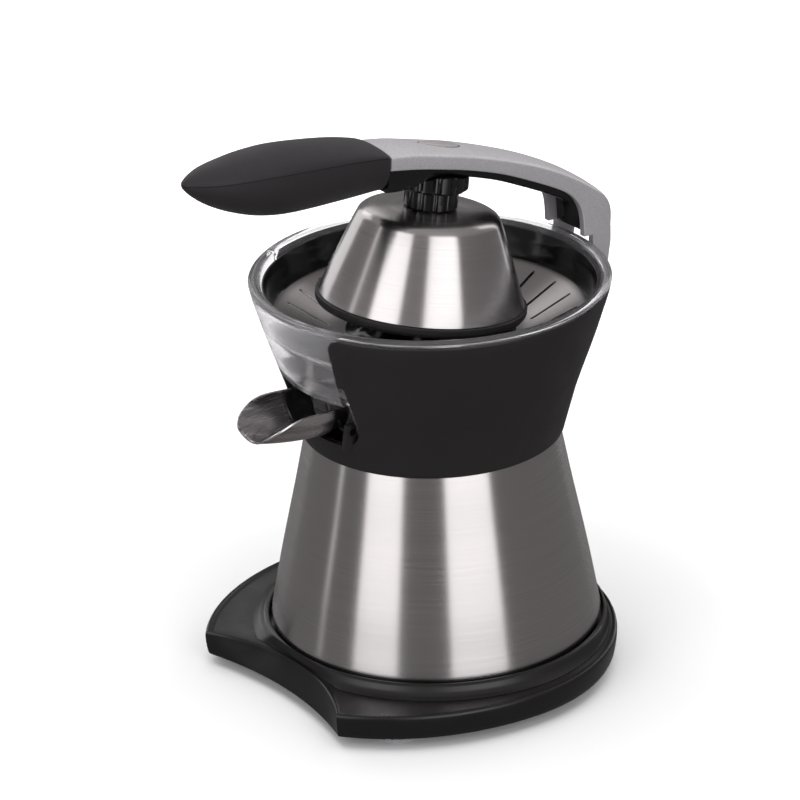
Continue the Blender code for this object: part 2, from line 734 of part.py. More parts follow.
def release_button():
    button = prism(button_outline(), -3.0, 0.6)
    button.transform(button_frame())
    return button


def release_rod():
    """Pushes the dome's catch when the button goes down."""
    rod = joined(disc(1.8, -12.8, -3.3, 12), disc(3.6, -4.6, -3.3, 12))
    rod.transform(button_frame())
    return rod


# ---- dome ----

def dome_frame():
    return Matrix.Translation((0, DOME_RIM_Y, DOME_RIM_Z)) @ Matrix.Rotation(math.radians(-DOME_TILT), 4, "X")


DOME_PROFILE = [(55.7, 5.0), (39.3, 48.5), (38.2, 51.0), (35.6, 53.2), (30.0, 54.6), (9.0, DOME_HEIGHT)]


def press_dome():
    """Steel cap, open below, with a hole for its catch at the top."""
    inside = [(9.0, 54.2), (29.6, 53.4), (34.6, 52.2), (36.8, 50.3), (38.0, 48.2), (54.4, 5.0)]
    return in_dome(turned(DOME_PROFILE + inside))


def in_dome(bm):
    bm.transform(dome_frame())
    return bm


def dome_liner():
    """Black inner cap whose lip shows below the steel."""
    outside = [(DOME_RADIUS, 0.0), (DOME_RADIUS, 4.7), (54.0, 4.7), (37.7, 48.0), (36.5, 50.1), (34.4, 51.9),
               (29.4, 53.1), (6.0, 53.9)]
    inside = [(6.0, 51.9), (28.5, 51.0), (33.0, 49.0), (35.5, 46.5), (52.6, 0.0)]
    return in_dome(turned(outside + inside))


def fluted(radius, low, high, bore, flutes=12):
    """A short column with flat flutes and a bore."""
    outline = []
    for i in range(flutes):
        for reach, turn in ((radius, -9), (radius, 3), (radius - 1.3, 6), (radius - 1.3, 18)):
            angle = math.radians(360 / flutes * i + turn + 3)
            outline.append((reach * math.sin(angle), -reach * math.cos(angle)))
    return carved(prism(outline, low, high), disc(bore, low - 5, high + 5))


def dome_boss():
    return in_dome(joined(fluted(14.5, 55.8, 65.9, 4.5), tube(8.6, 4.5, 54.2, 56.2)))


def dome_socket():
    """Fluted socket below the arm; its top is cut along the underside of the arm's liner."""
    lower = [arm_point(station, 0, 0, -drop - GAP) for station, drop in zip(ARM_STATIONS[:5], LINER_DROPS)]
    outline = [(point.y, point.z) for point in lower] + [(lower[-1].y, 320), (lower[0].y, 320)]
    return carved(in_dome(fluted(19.2, 66.2, 80, 4.5)), side_prism(outline, -25, 25))


# ---- assembly ----

def build():
    clear_scene()
    satin_black = finish("satin_black", (0.030, 0.028, 0.029), 0.45)
    matte_black = finish("matte_black", (0.024, 0.022, 0.023), 0.60)
    gloss_black = finish("gloss_black", (0.010, 0.010, 0.010), 0.15)
    button_grey = finish("button_grey", (0.135, 0.125, 0.125), 0.45)
    soft_black = finish("soft_black", (0.045, 0.042, 0.044), 0.75)
    steel = finish("brushed_steel", (0.56, 0.54, 0.54), 0.30, 1.0)
    silver = finish("silver_paint", (0.48, 0.47, 0.49), 0.38, 0.6)
    clear = finish("clear_plastic", (0.86, 0.87, 0.89), 0.08, 0.0, 0.30)
    grey_rubber = finish("grey_rubber", (0.20, 0.20, 0.22), 0.80)
    bright = finish("bright_steel", (0.62, 0.62, 0.63), 0.25, 1.0)
    bronze = finish("bronze", (0.55, 0.36, 0.18), 0.40, 1.0)
    copper = finish("copper", (0.70, 0.30, 0.16), 0.35, 1.0)
    nylon = finish("nylon", (0.80, 0.79, 0.74), 0.50)
    iron = finish("lamination", (0.22, 0.22, 0.24), 0.50, 0.9)

    node("base_plate", base_plate(), satin_black)
    node("bottom_cover", bottom_cover(), matte_black)
    node("cable_gland", cable_gland(), matte_black)
    for name, x, y in FEET:
        node("foot_" + name, suction_foot(x, y), grey_rubber)
    node("body_shell", body_shell(), steel)
    node("collar_housing", collar_housing(), matte_black)

    for i in range(3):
        node(f"motor_damper_{i + 1}", moved(disc(7, BASE_FLOOR + GAP, 29.7, 14), *leg_place(i)), grey_rubber)
    node("gear_plate", gear_plate(), iron)
    node("motor_bracket", tube(36, 5.5, 41, 44, 28), iron)
    node("motor_bearing_lower", tube(5.2, 3.3, 39.5, 45), bronze)
    node("motor_bearing_upper", tube(5.2, 3.3, 79, 85), bronze)
    node("motor_stator", tube(36, 20, 50, 74, 28), iron)
    node("winding_upper", tube(32, 22, 74.3, 78.5, 24), copper)
    node("winding_lower", tube(32, 22, 45.4, 49.7, 24), copper)
    node("gear_cover", gear_cover(), nylon)
    node("layshaft", moved(disc(2.0, 80.3, 114.2, 12), LAYSHAFT_X), bright)
    node("cover_bush", tube(7.4, 4.3, 110.2, 118), bronze)
    node("hub_bush", tube(7.7, 4.3, 156, 171.6), bronze)
    node("hub_seal", turned([(11.6, 172.3), (11.6, 174.6), (4.3, 175.4), (4.3, 172.3)], SMALL), grey_rubber)
    node("return_spring", coil(9.6, 0.9, 118.3, 127.7, 3), bright)
    node("switch_body", switch_body(), gloss_black)

    node("juice_bowl", juice_bowl(), clear)
    node("strainer", strainer(), steel)
    node("hinge_pin", cross_rod(PIN_RADIUS, -15.3, 15.3, PIVOT_Y, PIVOT_Z), bright)

    rotor_pivot = pivot("rotor_axis", 0, 0, 60)
    rotor = [(0, 28), (3, 28), (3, 49), (19.4, 50), (19.4, 74), (3, 75), (3, 96), (0, 96)]
    node("motor_rotor", turned(rotor, 24, closed=False), iron, rotor_pivot)
    pinion = carved(prism(gear_outline(PINION_TEETH, 0), 86.2, 95.2), disc(3.3, 80, 100))
    node("motor_pinion", pinion, bright,
         rotor_pivot)
    node("cooling_fan", fan(), nylon, rotor_pivot)
    node("cluster_gear", cluster_gear(), nylon, pivot("layshaft_axis", LAYSHAFT_X, 0, 100))

    press_pivot = pivot("press_axis", 0, 0, 130)
    node("thrust_cup", thrust_cup(), nylon, press_pivot)
    spindle = pivot("spindle_axis", 0, 0, 180)
    node("drive_shaft", drive_shaft(), bright, spindle)
    node("output_gear", output_gear(), nylon, spindle)
    node("shaft_clip", tube(8, 4.3, 131.4, 132.8), bright, spindle)
    node("reamer", reamer(), gloss_black, spindle)
    plunger = block((-35.3, -2.3, 122.5), (-30.7, 2.3, 127.7))
    node("switch_plunger", plunger, satin_black, pivot("switch_axis", -33, 0, 125))

    spout_pivot = pivot("spout_axis", 0, SPOUT_PIVOT_Y, SPOUT_PIVOT_Z)
    node("spout_root", spout_root(), gloss_black, spout_pivot)
    node("spout_scoop", spout_scoop(), steel, spout_pivot)

    arm_pivot = pivot("arm_axis", 0, PIVOT_Y, PIVOT_Z)
    node("arm_shell", arm_shell(), silver, arm_pivot)
    node("arm_liner", arm_liner(), gloss_black, arm_pivot)
    node("post_liner", post_liner(), gloss_black, arm_pivot)
    node("grip_top", grip_half(True), soft_black, arm_pivot)
    node("grip_bottom", grip_half(False), soft_black, arm_pivot)
    node("dome_socket", dome_socket(), gloss_black, arm_pivot)
    node("dome_boss", dome_boss(), gloss_black, arm_pivot)
    node("press_dome", press_dome(), steel, arm_pivot)
    node("dome_liner", dome_liner(), matte_black, arm_pivot)

    button_pivot = pivot("button_axis", 0, BUTTON_Y, BUTTON_Z)
    node("release_button", release_button(), button_grey, button_pivot)
    node("release_rod", release_rod(), bright, button_pivot)


build()
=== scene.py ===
"""Looks of the citrus press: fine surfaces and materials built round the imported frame.

Lengths are millimetres about the reamer's vertical axis, and MM turns them into metres. The spout and the
handle point towards -Y.
"""

import json
import math

import bmesh
import bpy
from mathutils import Matrix, Vector


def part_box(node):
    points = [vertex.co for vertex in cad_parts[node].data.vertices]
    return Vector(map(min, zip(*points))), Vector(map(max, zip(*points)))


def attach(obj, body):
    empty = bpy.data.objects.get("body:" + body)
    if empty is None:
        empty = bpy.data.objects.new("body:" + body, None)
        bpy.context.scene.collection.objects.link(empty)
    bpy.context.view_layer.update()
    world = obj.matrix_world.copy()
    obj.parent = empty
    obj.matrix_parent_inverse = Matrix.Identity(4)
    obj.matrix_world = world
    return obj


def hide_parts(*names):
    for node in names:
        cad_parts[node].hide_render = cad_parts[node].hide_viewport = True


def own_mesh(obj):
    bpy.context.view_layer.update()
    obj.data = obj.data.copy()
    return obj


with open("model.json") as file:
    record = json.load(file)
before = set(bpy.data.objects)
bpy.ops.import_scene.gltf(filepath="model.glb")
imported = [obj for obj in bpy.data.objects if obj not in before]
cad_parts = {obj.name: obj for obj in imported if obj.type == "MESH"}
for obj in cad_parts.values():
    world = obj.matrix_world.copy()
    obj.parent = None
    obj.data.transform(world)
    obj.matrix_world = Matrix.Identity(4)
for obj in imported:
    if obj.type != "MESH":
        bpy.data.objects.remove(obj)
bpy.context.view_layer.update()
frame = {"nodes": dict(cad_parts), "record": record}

MM = 0.001
GAP = 0.3                    # between neighbouring pieces
BOWL_GAP = 0.5               # between the bowl and the collar round it
WELD = 0.002                 # points closer than this become one after a cut
SHARP_ANGLE = 35             # edges that turn more than this, in degrees, look sharp


def middle(node):
    low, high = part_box(node)
    return (low + high) / 2 / MM


AXIS_Y = middle("body_shell").y          # reamer's axis
PIVOT_Y = middle("hinge_pin").y - AXIS_Y  # arm hinge
PIVOT_Z = middle("hinge_pin").z
DECK_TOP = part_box("juice_bowl")[0].z / MM - BOWL_GAP
RIM_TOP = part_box("juice_bowl")[1].z / MM
RIM_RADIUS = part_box("juice_bowl")[1].x / MM
BODY_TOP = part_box("body_shell")[1].z / MM
BASE_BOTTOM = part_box("base_plate")[0].z / MM
FLOOR_SIZE = 40000

ROUND = 144                  # sides of a large turned piece
SMALL = 48                   # sides of a small one


# ---- shapes: each returns a closed bmesh ----

def skin(rings, closed=False):
    """Faces through rings of equal length; a ring of one point is a pole; open ends are capped."""
    bm = bmesh.new()
    loops = [[bm.verts.new(point) for point in ring] for ring in rings]
    pairs = list(zip(loops, loops[1:]))
    if closed:
        pairs.append((loops[-1], loops[0]))
    for low, high in pairs:
        count = max(len(low), len(high))
        for i in range(count):
            j = (i + 1) % count
            if len(low) == 1:
                bm.faces.new((low[0], high[j], high[i]))
            elif len(high) == 1:
                bm.faces.new((low[i], low[j], high[0]))
            else:
                bm.faces.new((low[i], low[j], high[j], high[i]))
    if not closed:
        for loop in (loops[0], loops[-1]):
            if len(loop) > 2:
                bm.faces.new(loop)
    bmesh.ops.recalc_face_normals(bm, faces=bm.faces)
    return bm


def smooth(points, per=6):
    """Points of a curve that runs through the given ones."""
    known = [Vector(p) for p in points]
    out = []
    for i in range(len(known) - 1):
        a, b, c = known[max(i - 1, 0)], known[i], known[i + 1]
        d = known[min(i + 2, len(known) - 1)]
        for step in range(per):
            t = step / per
            bend = (a * -1 + b * 3 - c * 3 + d) * t ** 3 + (a * 2 - b * 5 + c * 4 - d) * t ** 2
            out.append((bend + (c - a) * t + b * 2) / 2)
    return out + [known[-1]]


def rounded(points, radius, steps=4, closed=True):
    """The outline with its corners cut back by radius, or by a list of one radius each, and bridged."""
    corners = [Vector(p) for p in points]
    cuts = radius if isinstance(radius, (list, tuple)) else [radius] * len(corners)
    out = []
    for i, corner in enumerate(corners):
        if cuts[i] == 0 or not closed and i in (0, len(corners) - 1):
            out.append(corner)
            continue
        back, on = corners[i - 1] - corner, corners[(i + 1) % len(corners)] - corner
        start = corner + back.normalized() * min(cuts[i], back.length * 0.48)
        end = corner + on.normalized() * min(cuts[i], on.length * 0.48)
        for step in range(steps + 1):
            t = step / steps
            out.append(start * (1 - t) ** 2 + corner * 2 * t * (1 - t) + end * t ** 2)
    return out


def polar(radius, angle, z):
    """The point at an angle from the front."""
    return Vector((radius * math.sin(angle), -radius * math.cos(angle), z))


def circle(radius, z, sides):
    if abs(radius) < 0.001:
        return [Vector((0, 0, z))]
    return [polar(radius, 2 * math.pi * i / sides, z) for i in range(sides)]


def arc(centre, radius, start, turn, count):
    """Flat points round a centre, from the angle start on, turn degrees apart."""
    angles = [math.radians(start + turn * step) for step in range(count)]
    return [(centre[0] + radius * math.cos(a), centre[1] + radius * math.sin(a)) for a in angles]


def turned(profile, sides=ROUND, closed=True):
    """A body of revolution about Z from (radius, z) points."""
    return skin([circle(radius, z, sides) for radius, z in profile], closed)


def disc(radius, low, high):
    return skin([circle(radius, low, SMALL), circle(radius, high, SMALL)])


def prism(outline, low, high):
    return skin([[Vector((x, y, z)) for x, y in outline] for z in (low, high)])


def side_prism(outline, left, right):
    """A (y, z) outline stretched along X."""
    return skin([[Vector((x, y, z)) for y, z in outline] for x in (left, right)])


def block(low, high):
    outline = [(low[0], low[1]), (high[0], low[1]), (high[0], high[1]), (low[0], high[1])]
    return prism(outline, low[2], high[2])


def rod_y(radius, front, back, z):
    """A rod lying along Y."""
    bm = disc(radius, -back, -front)
    bm.transform(Matrix.Translation((0, 0, z)) @ Matrix.Rotation(math.radians(90), 4, "X"))
    return bm


def rod_x(radius, left, right, y, z):
    """A rod lying along X."""
    steps = [2 * math.pi * i / SMALL for i in range(SMALL)]
    return side_prism([(y + radius * math.cos(a), z + radius * math.sin(a)) for a in steps], left, right)


def mesh_of(name, bm):
    """A mesh made from a bmesh, which is used up."""
    mesh = bpy.data.meshes.new(name)
    bm.to_mesh(mesh)
    bm.free()
    return mesh


def in_scene(name, data):
    """A new object in the scene."""
    obj = bpy.data.objects.new(name, data)
    bpy.context.scene.collection.objects.link(obj)
    return obj


def combined(base, tool, operation):
    """Boolean of two bodies; both are used up."""
    working = [in_scene("working", mesh_of("working", bm)) for bm in (base, tool)]
    modifier = working[0].modifiers.new("combine", "BOOLEAN")
    modifier.operation = operation
    modifier.solver = "EXACT"
    modifier.use_self = True
    modifier.object = working[1]
    result = bmesh.new()
    result.from_object(working[0], bpy.context.evaluated_depsgraph_get())
    for obj in working:
        mesh = obj.data
        bpy.data.objects.remove(obj)
        bpy.data.meshes.remove(mesh)
    bmesh.ops.remove_doubles(result, verts=result.verts, dist=WELD)
    return result


def joined(base, *tools):
    for tool in tools:
        base = combined(base, tool, "UNION")
    return base


def carved(base, *tools):
    for tool in tools:
        base = combined(base, tool, "DIFFERENCE")
    return base


def reading(table, x):
    """Straight-line reading of a table of (x, value) points, carried on past its ends."""
    pairs = list(zip(table, table[1:]))
    (x0, v0), (x1, v1) = next((pair for pair in pairs if x <= pair[1][0]), pairs[-1])
    return v0 + (v1 - v0) * (x - x0) / (x1 - x0)


def piece(name, bm, material, body, slot, *nodes, place=None):
    """A named piece that rides on a body and stands for CAD nodes. place is the bmesh's own frame, in mm."""
    place = Matrix.Translation((0, AXIS_Y, 0)) @ (place or Matrix.Identity(4))
    bm.transform(Matrix.Scale(MM, 4))
    mesh = mesh_of(name, bm)
    mesh.shade_smooth()
    mesh.set_sharp_from_angle(angle=math.radians(SHARP_ANGLE))
    mesh.materials.append(material)
    obj = in_scene(name, mesh)
    place.translation *= MM
    obj.matrix_world = place
    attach(obj, body)
    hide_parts(*nodes)
    return obj


# ---- materials ----

def new_node(tree, kind, **values):
    """A shader node with some of its inputs set by name."""
    made = tree.nodes.new(kind)
    for name, value in values.items():
        made.inputs[name.replace("_", " ")].default_value = value
    return made


class Finish:
    """A Principled material with small tools for its texture."""

    def __init__(self, name, colour, roughness, metallic=0.0):
        self.material = bpy.data.materials.new(name)
        self.material.use_nodes = True
        self.tree = self.material.node_tree
        self.shader = self.tree.nodes["Principled BSDF"]
        self.set("Base Color", (*colour, 1.0))
        self.set("Roughness", roughness)
        self.set("Metallic", metallic)
        self.colour = colour
        self.roughness = roughness

    def set(self, socket, value):
        self.shader.inputs[socket].default_value = value
        return self

    def link(self, output, target):
        self.tree.links.new(output, target)

    def node(self, kind, **values):
        return new_node(self.tree, kind, **values)

    def noise(self, scale, stretch=(1, 1, 1), detail=2.0):
        """Noise over the object's own coordinates, scale in waves for each metre."""
        place = self.node("ShaderNodeTexCoord")
        mapping = self.node("ShaderNodeMapping", Scale=[scale * s for s in stretch])
        texture = self.node("ShaderNodeTexNoise", Scale=1.0, Detail=detail)
        self.link(place.outputs["Object"], mapping.inputs["Vector"])
        self.link(mapping.outputs["Vector"], texture.inputs["Vector"])
        return texture.outputs["Fac"]

    def cells(self, scale):
        """Cells of a random value each."""
        place = self.node("ShaderNodeTexCoord")
        texture = self.node("ShaderNodeTexVoronoi", Scale=scale)
        self.link(place.outputs["Object"], texture.inputs["Vector"])
        parts = self.node("ShaderNodeSeparateColor")
        self.link(texture.outputs["Color"], parts.inputs["Color"])
        return parts.outputs["Red"]

    def spread(self, value, low, high, start=0.3, end=0.7):
        made = self.node("ShaderNodeMapRange", From_Min=start, From_Max=end, To_Min=low, To_Max=high)
        self.link(value, made.inputs["Value"])
        return made.outputs["Result"]

    def tinted(self, value, change, start=0.3, end=0.7):
        """Base colour between a darker and a lighter shade."""
        factor = self.spread(value, 1 - change, 1 + change, start, end)
        shade = self.node("ShaderNodeVectorMath")
        shade.operation = "SCALE"
        shade.inputs[0].default_value = self.colour
        self.link(factor, shade.inputs["Scale"])
        self.link(shade.outputs["Vector"], self.shader.inputs["Base Color"])
        return self

    def rough(self, value, change):
        result = self.spread(value, self.roughness - change, self.roughness + change)
        self.link(result, self.shader.inputs["Roughness"])
        return self

    def relief(self, value, depth, strength):
        """Bump, depth in mm."""
        bump = self.node("ShaderNodeBump", Distance=depth * MM, Strength=strength)
        self.link(value, bump.inputs["Height"])
        self.link(bump.outputs["Normal"], self.shader.inputs["Normal"])
        return self


def brushed(name, colour, roughness):
    """Steel brushed round its own Z axis, so it spreads a reflection up and down more than sideways."""
    across, along = 3600, 14
    made = Finish(name, colour, roughness, metallic=1.0)
    lines = made.noise(1.0, (along, along, across), detail=3.0)
    made.tinted(lines, 0.07)
    made.rough(lines, 0.03)
    made.relief(lines, 0.002, 0.35)
    made.set("Anisotropic", 0.85)
    made.set("Anisotropic Rotation", 0.25)
    tangent = made.node("ShaderNodeTangent")
    tangent.direction_type = "RADIAL"
    tangent.axis = "Z"
    made.link(tangent.outputs["Tangent"], made.shader.inputs["Tangent"])
    return made.material


def moulded(name, colour, roughness, grain=1600, depth=0.02, level=0.5):
    """Plastic with the fine texture of its mould."""
    made = Finish(name, colour, roughness)
    texture = made.noise(grain, detail=3.0)
    made.tinted(made.noise(18, detail=4.0), 0.10)
    made.rough(made.noise(60, detail=3.0), 0.05)
    made.relief(texture, depth, strength=0.5)
    made.set("Specular IOR Level", level)
    return made.material


def soft_touch(name):
    made = Finish(name, (0.0210, 0.0190, 0.0210), 0.58)
    made.tinted(made.noise(3200), 0.22)
    made.rough(made.noise(40, detail=3.0), 0.06)
    made.relief(made.noise(4200), 0.03, 0.5)
    made.set("Sheen Weight", 0.06)
    made.set("Specular IOR Level", 0.35)
    return made.material


def flake_paint(name):
    """Silver paint with fine metal flakes."""
    made = Finish(name, (0.55, 0.535, 0.56), 0.40, metallic=0.35)
    made.tinted(made.cells(2600), 0.14, start=0.0, end=1.0)
    made.rough(made.noise(900), 0.08)
    made.relief(made.noise(1400), 0.01, 0.5)
    return made.material


def clear_plastic(name):
    """Clear acrylic with faint moulding waves and wiping marks."""
    made = Finish(name, (0.90, 0.89, 0.91), 0.10)
    made.set("Transmission Weight", 0.95)
    made.set("IOR", 1.45)
    made.tinted(made.noise(25), 0.02)
    made.rough(made.noise(350, detail=4.0), 0.03)
    made.relief(made.noise(60, detail=1.0), 0.01, 0.15)
    return made.material


def machined(name, colour, roughness):
    """Ground or turned metal."""
    made = Finish(name, colour, roughness, metallic=1.0)
    lines = made.noise(1.0, (60, 60, 3000))
    made.tinted(lines, 0.12)
    made.rough(lines, 0.07)
    made.relief(lines, 0.004, 0.5)
    return made.material


def wound_copper(name):
    made = Finish(name, (0.62, 0.22, 0.09), 0.35, metallic=1.0)
    wires = made.noise(1.0, (900, 900, 3000), detail=1.0)
    made.tinted(wires, 0.35)
    made.relief(wires, 0.15, 0.8)
    return made.material


def laminated(name):
    made = Finish(name, (0.17, 0.17, 0.185), 0.45, metallic=0.9)
    layers = made.noise(1.0, (8, 8, 2200), detail=1.0)
    made.tinted(layers, 0.3)
    made.relief(layers, 0.05, 0.7)
    return made.material


def materials():
    """One material for each of the record's slots, and two more for the pressed and the polished steel."""
    return {
        "satin_black": moulded("satin_black", (0.0075, 0.0068, 0.0071), 0.31),
        "matte_black": moulded("matte_black", (0.0185, 0.0168, 0.0178), 0.50, level=0.4),
        "gloss_black": moulded("gloss_black", (0.0060, 0.0058, 0.0064), 0.14, depth=0.004),
        "button_grey": moulded("button_grey", (0.330, 0.305, 0.310), 0.38),
        "soft_black": soft_touch("soft_black"),
        "brushed_steel": brushed("brushed_steel", (0.56, 0.535, 0.535), 0.24),
        "pressed_steel": brushed("pressed_steel", (0.36, 0.34, 0.34), 0.34),
        "polished_steel": machined("polished_steel", (0.68, 0.65, 0.65), 0.22),
        "silver_paint": flake_paint("silver_paint"),
        "clear": clear_plastic("clear"),
        # The rubber's grey is lifted above its own to stand in for the light the floor would bounce onto the
        # feet: partly painted light.
        "grey_rubber": moulded("grey_rubber", (0.42, 0.42, 0.46), 0.62, grain=900, depth=0.05),
        "bright_steel": machined("bright_steel", (0.60, 0.60, 0.61), 0.26),
        "bronze": machined("bronze", (0.50, 0.30, 0.13), 0.36),
        "copper": wound_copper("copper"),
        "nylon": moulded("nylon", (0.76, 0.74, 0.68), 0.50, grain=1200),
        "lamination": laminated("lamination"),
    }


# ---- base ----

BASE_HALF_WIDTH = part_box("base_plate")[1].x / MM + 0.2
BASE_FRONT = 126.5
BASE_REAR = 103.5
BASE_CENTRE = -8.0
SCALLOP_RADIUS = 119.0
SCALLOP_DEPTH_Y = -95.5      # innermost point of the concave front
SCALLOP_LEAN = 8.5           # how much further out its lower edge stays
WALL_TAPER = 1.6             # the wall draws in this much towards the bottom
WALL_TOP = 19.2              # where the side wall meets the bead
RING_RADIUS = 92.2           # inner edge of the foot ring, round the steel body


def shield(lean=0.0):
    """Outline of the base: an egg shape with a concave front, shallower as lean goes from 0 to 1."""
    centre = SCALLOP_DEPTH_Y - SCALLOP_RADIUS

    def egg(angle):
        depth = BASE_FRONT if math.cos(angle) > 0 else BASE_REAR
        return BASE_HALF_WIDTH * math.sin(angle), BASE_CENTRE - depth * math.cos(angle)

    low, high = 0.1, 1.5     # the corner between egg and scallop lies between these angles
    halvings = 40
    for _ in range(halvings):
        corner = (low + high) / 2
        x, y = egg(corner)
        if math.hypot(x, y - centre) < SCALLOP_RADIUS:
            low = corner
        else:
            high = corner
    corner_x, corner_y = egg(corner)
    nearest = SCALLOP_DEPTH_Y - SCALLOP_LEAN * lean
    depth = nearest - corner_y
    radius = (corner_x ** 2 + depth ** 2) / (2 * depth)
    sweep = math.atan2(corner_x, radius - depth)
    arc_steps, egg_steps = 40, 120
    points = []
    for i in range(arc_steps):
        angle = sweep * (2 * i / arc_steps - 1)
        points.append((radius * math.sin(angle), nearest - radius + radius * math.cos(angle)))
    for i in range(egg_steps):
        angle = corner + (2 * math.pi - 2 * corner) * i / egg_steps
        points.append(egg(angle))
    return points


def inset_ring(inset, share, z, lean=0.0):
    """The outline moved in by inset, but no more than a share of the width up to the steel body's ring."""
    ring = []
    for x, y in shield(lean):
        reach = math.hypot(x, y)
        limit = share * (reach - RING_RADIUS) if share else inset
        scale = 1 - min(inset, limit) / reach
        ring.append(Vector((x * scale, y * scale, z)))
    return ring


def outset_ring(out, share, z):
    """A circle out from the steel body's ring by out, but no more than a share of the width to the edge."""
    ring = []
    for x, y in shield():
        reach = math.hypot(x, y)
        scale = (RING_RADIUS + min(out, share * (reach - RING_RADIUS))) / reach
        ring.append(Vector((x * scale, y * scale, z)))
    return ring


def base_shield():
    """Side wall, fine bead along the edge, and a shallow channel up to the foot ring."""
    rings = [inset_ring(3.0, 0, 17.5, 0.2), inset_ring(WALL_TAPER + 1.8, 0, BASE_BOTTOM + 0.2, 1.0),
             inset_ring(WALL_TAPER + 1.6, 0, BASE_BOTTOM, 1.0)]
    wall_steps = 8
    for step in range(wall_steps + 1):
        share = step / wall_steps
        lean = (1 - share) ** 1.3
        inset = WALL_TAPER * (1 - share) ** 2 + (0.4 if step == 0 else 0)
        rings.append(inset_ring(inset, 0, BASE_BOTTOM + (WALL_TOP - BASE_BOTTOM) * share, lean))
    for inset, share, z in ((0.15, 0.02, 20.0), (0.6, 0.06, 20.6), (1.2, 0.12, 20.9), (1.9, 0.18, 20.8),
                            (2.5, 0.24, 20.3), (3.2, 0.30, 20.0), (5.0, 0.40, 19.8)):
        rings.append(inset_ring(inset, share, z))
    for out, share, z in ((15.0, 0.56, 19.8), (8.4, 0.47, 19.7), (8.2, 0.46, WALL_TOP),
                          (0.4, 0.02, WALL_TOP)):
        rings.append(outset_ring(out, share, z))
    return skin(rings)


def foot_ring():
    """Flared ring between the base and the foot of the steel body."""
    top = [(9.6, 0.51, 19.95), (7.6, 0.46, 20.5), (5.8, 0.41, 21.6), (4.5, 0.36, 23.2), (3.6, 0.32, 24.9),
           (2.9, 0.28, 25.7), (2.0, 0.20, 26.0), (0.9, 0.10, 25.9), (0.3, 0.03, 25.3)]
    under = [(0.3, 0.03, 23.9), (2.2, 0.22, 23.6), (4.6, 0.36, 21.0), (8.8, 0.49, 19.6)]
    return skin([outset_ring(out, share, z) for out, share, z in top + under], closed=True)


def steel_body():
    """Brushed cone with a thin wall and a foot that turns in."""
    outer = smooth([(90.6, 24.9), (91.0, 27), (90.5, 30.5), (88.7, 40), (85.2, 58.5), (80.5, 81), (75.8, 103),
                    (71.6, 124), (69.1, BODY_TOP)], 5)
    inner = [(67.9, BODY_TOP), (79.3, 81), (87.5, 40), (89.4, 28), (89.6, 24.5), (90.2, 24.4)]
    return turned(outer + inner)


# ---- collar and bowl ----

COLLAR_OUTER = [(71.5, 136.3), (73.2, 143), (75.6, 152), (78.6, 163), (82.2, 174), (86.2, 185.5), (90.4, 198),
                (93.6, 208.5), (95.9, 216), (97.2, 221.5)]
COLLAR_BOTTOM, COLLAR_TOP = COLLAR_OUTER[0][1], COLLAR_OUTER[-1][1]
COLLAR_CURVE = [(z, radius) for radius, z in smooth(COLLAR_OUTER, 6)]
COLLAR_WALL = 3.0
WINDOW_LEFT, WINDOW_RIGHT, WINDOW_SILL = -60.0, 19.4, 177.0
WINDOW_CORNER = 8.5          # radius at the upper corners of the window
LOBE_LEFT, LOBE_RIGHT, LOBE_BOTTOM, LOBE_RADIUS = -27.0, 32.5, 150.0, 17.0
LEDGE_TOP = 202.9            # step inside the bowl that carries the strainer
STRAINER_RADIUS = 85.4
SPOUT_CHEEK = [(-77.0, 151.0), (-66.6, 151.0), (-66.6, 164.5), (-74.6, 164.5)]
SPOUT_CHEEK_INNER, SPOUT_CHEEK_OUTER = 22.6, 25.2
SPOUT_PIVOT_Y, SPOUT_PIVOT_Z = -71.0, 160.0
SPOUT_AXLE = 1.8
SPINE_HALF_WIDTH = 17.3
LUG_HALF_WIDTH = 13.1
LUG_RADIUS = 5.7
HINGE_HOLE = 3.1
HUB_RADIUS = 12.0            # upright tube in the middle of the deck


def collar_radius(z):
    return reading(COLLAR_CURVE, z)


def sector(outside, inside, levels, start, end, steps):
    """Part of a ring between two angles from the front, in degrees; all four follow the level."""
    rings = []
    for z in levels:
        first, last = start(z), end(z)
        angles = [math.radians(first + (last - first) * i / steps) for i in range(steps + 1)]
        outer = [polar(outside(z), a, z) for a in angles]
        inner = [polar(inside(z), a, z) for a in reversed(angles)]
        rings.append(outer + inner)
    return skin(rings)


def corner_flare(z):
    """How far, in degrees, the window widens near the collar's top edge."""
    above = z - (COLLAR_TOP - WINDOW_CORNER)
    if above <= 0:
        return 0.0
    reach = WINDOW_CORNER - math.sqrt(max(WINDOW_CORNER ** 2 - min(above, WINDOW_CORNER) ** 2, 0))
    return math.degrees(reach / collar_radius(z))


def window_levels(low, high):
    """Levels up a side of the window, closer together where its upper corner opens."""
    levels = [low + (high - WINDOW_CORNER - low) * i / 6 for i in range(6)]
    return levels + [high - WINDOW_CORNER * math.cos(math.radians(i * 90 / 10)) for i in range(11)]


def lobe_outline():
    """The opening round the spout, below the window: a slot with a round bottom."""
    top = 190.0
    points = [(LOBE_RIGHT, top), (LOBE_LEFT, top)]
    for x, start in ((LOBE_LEFT + LOBE_RADIUS, 180), (LOBE_RIGHT - LOBE_RADIUS, 270)):
        points += arc((x, LOBE_BOTTOM + LOBE_RADIUS), LOBE_RADIUS, start, 5, 19)
    return points


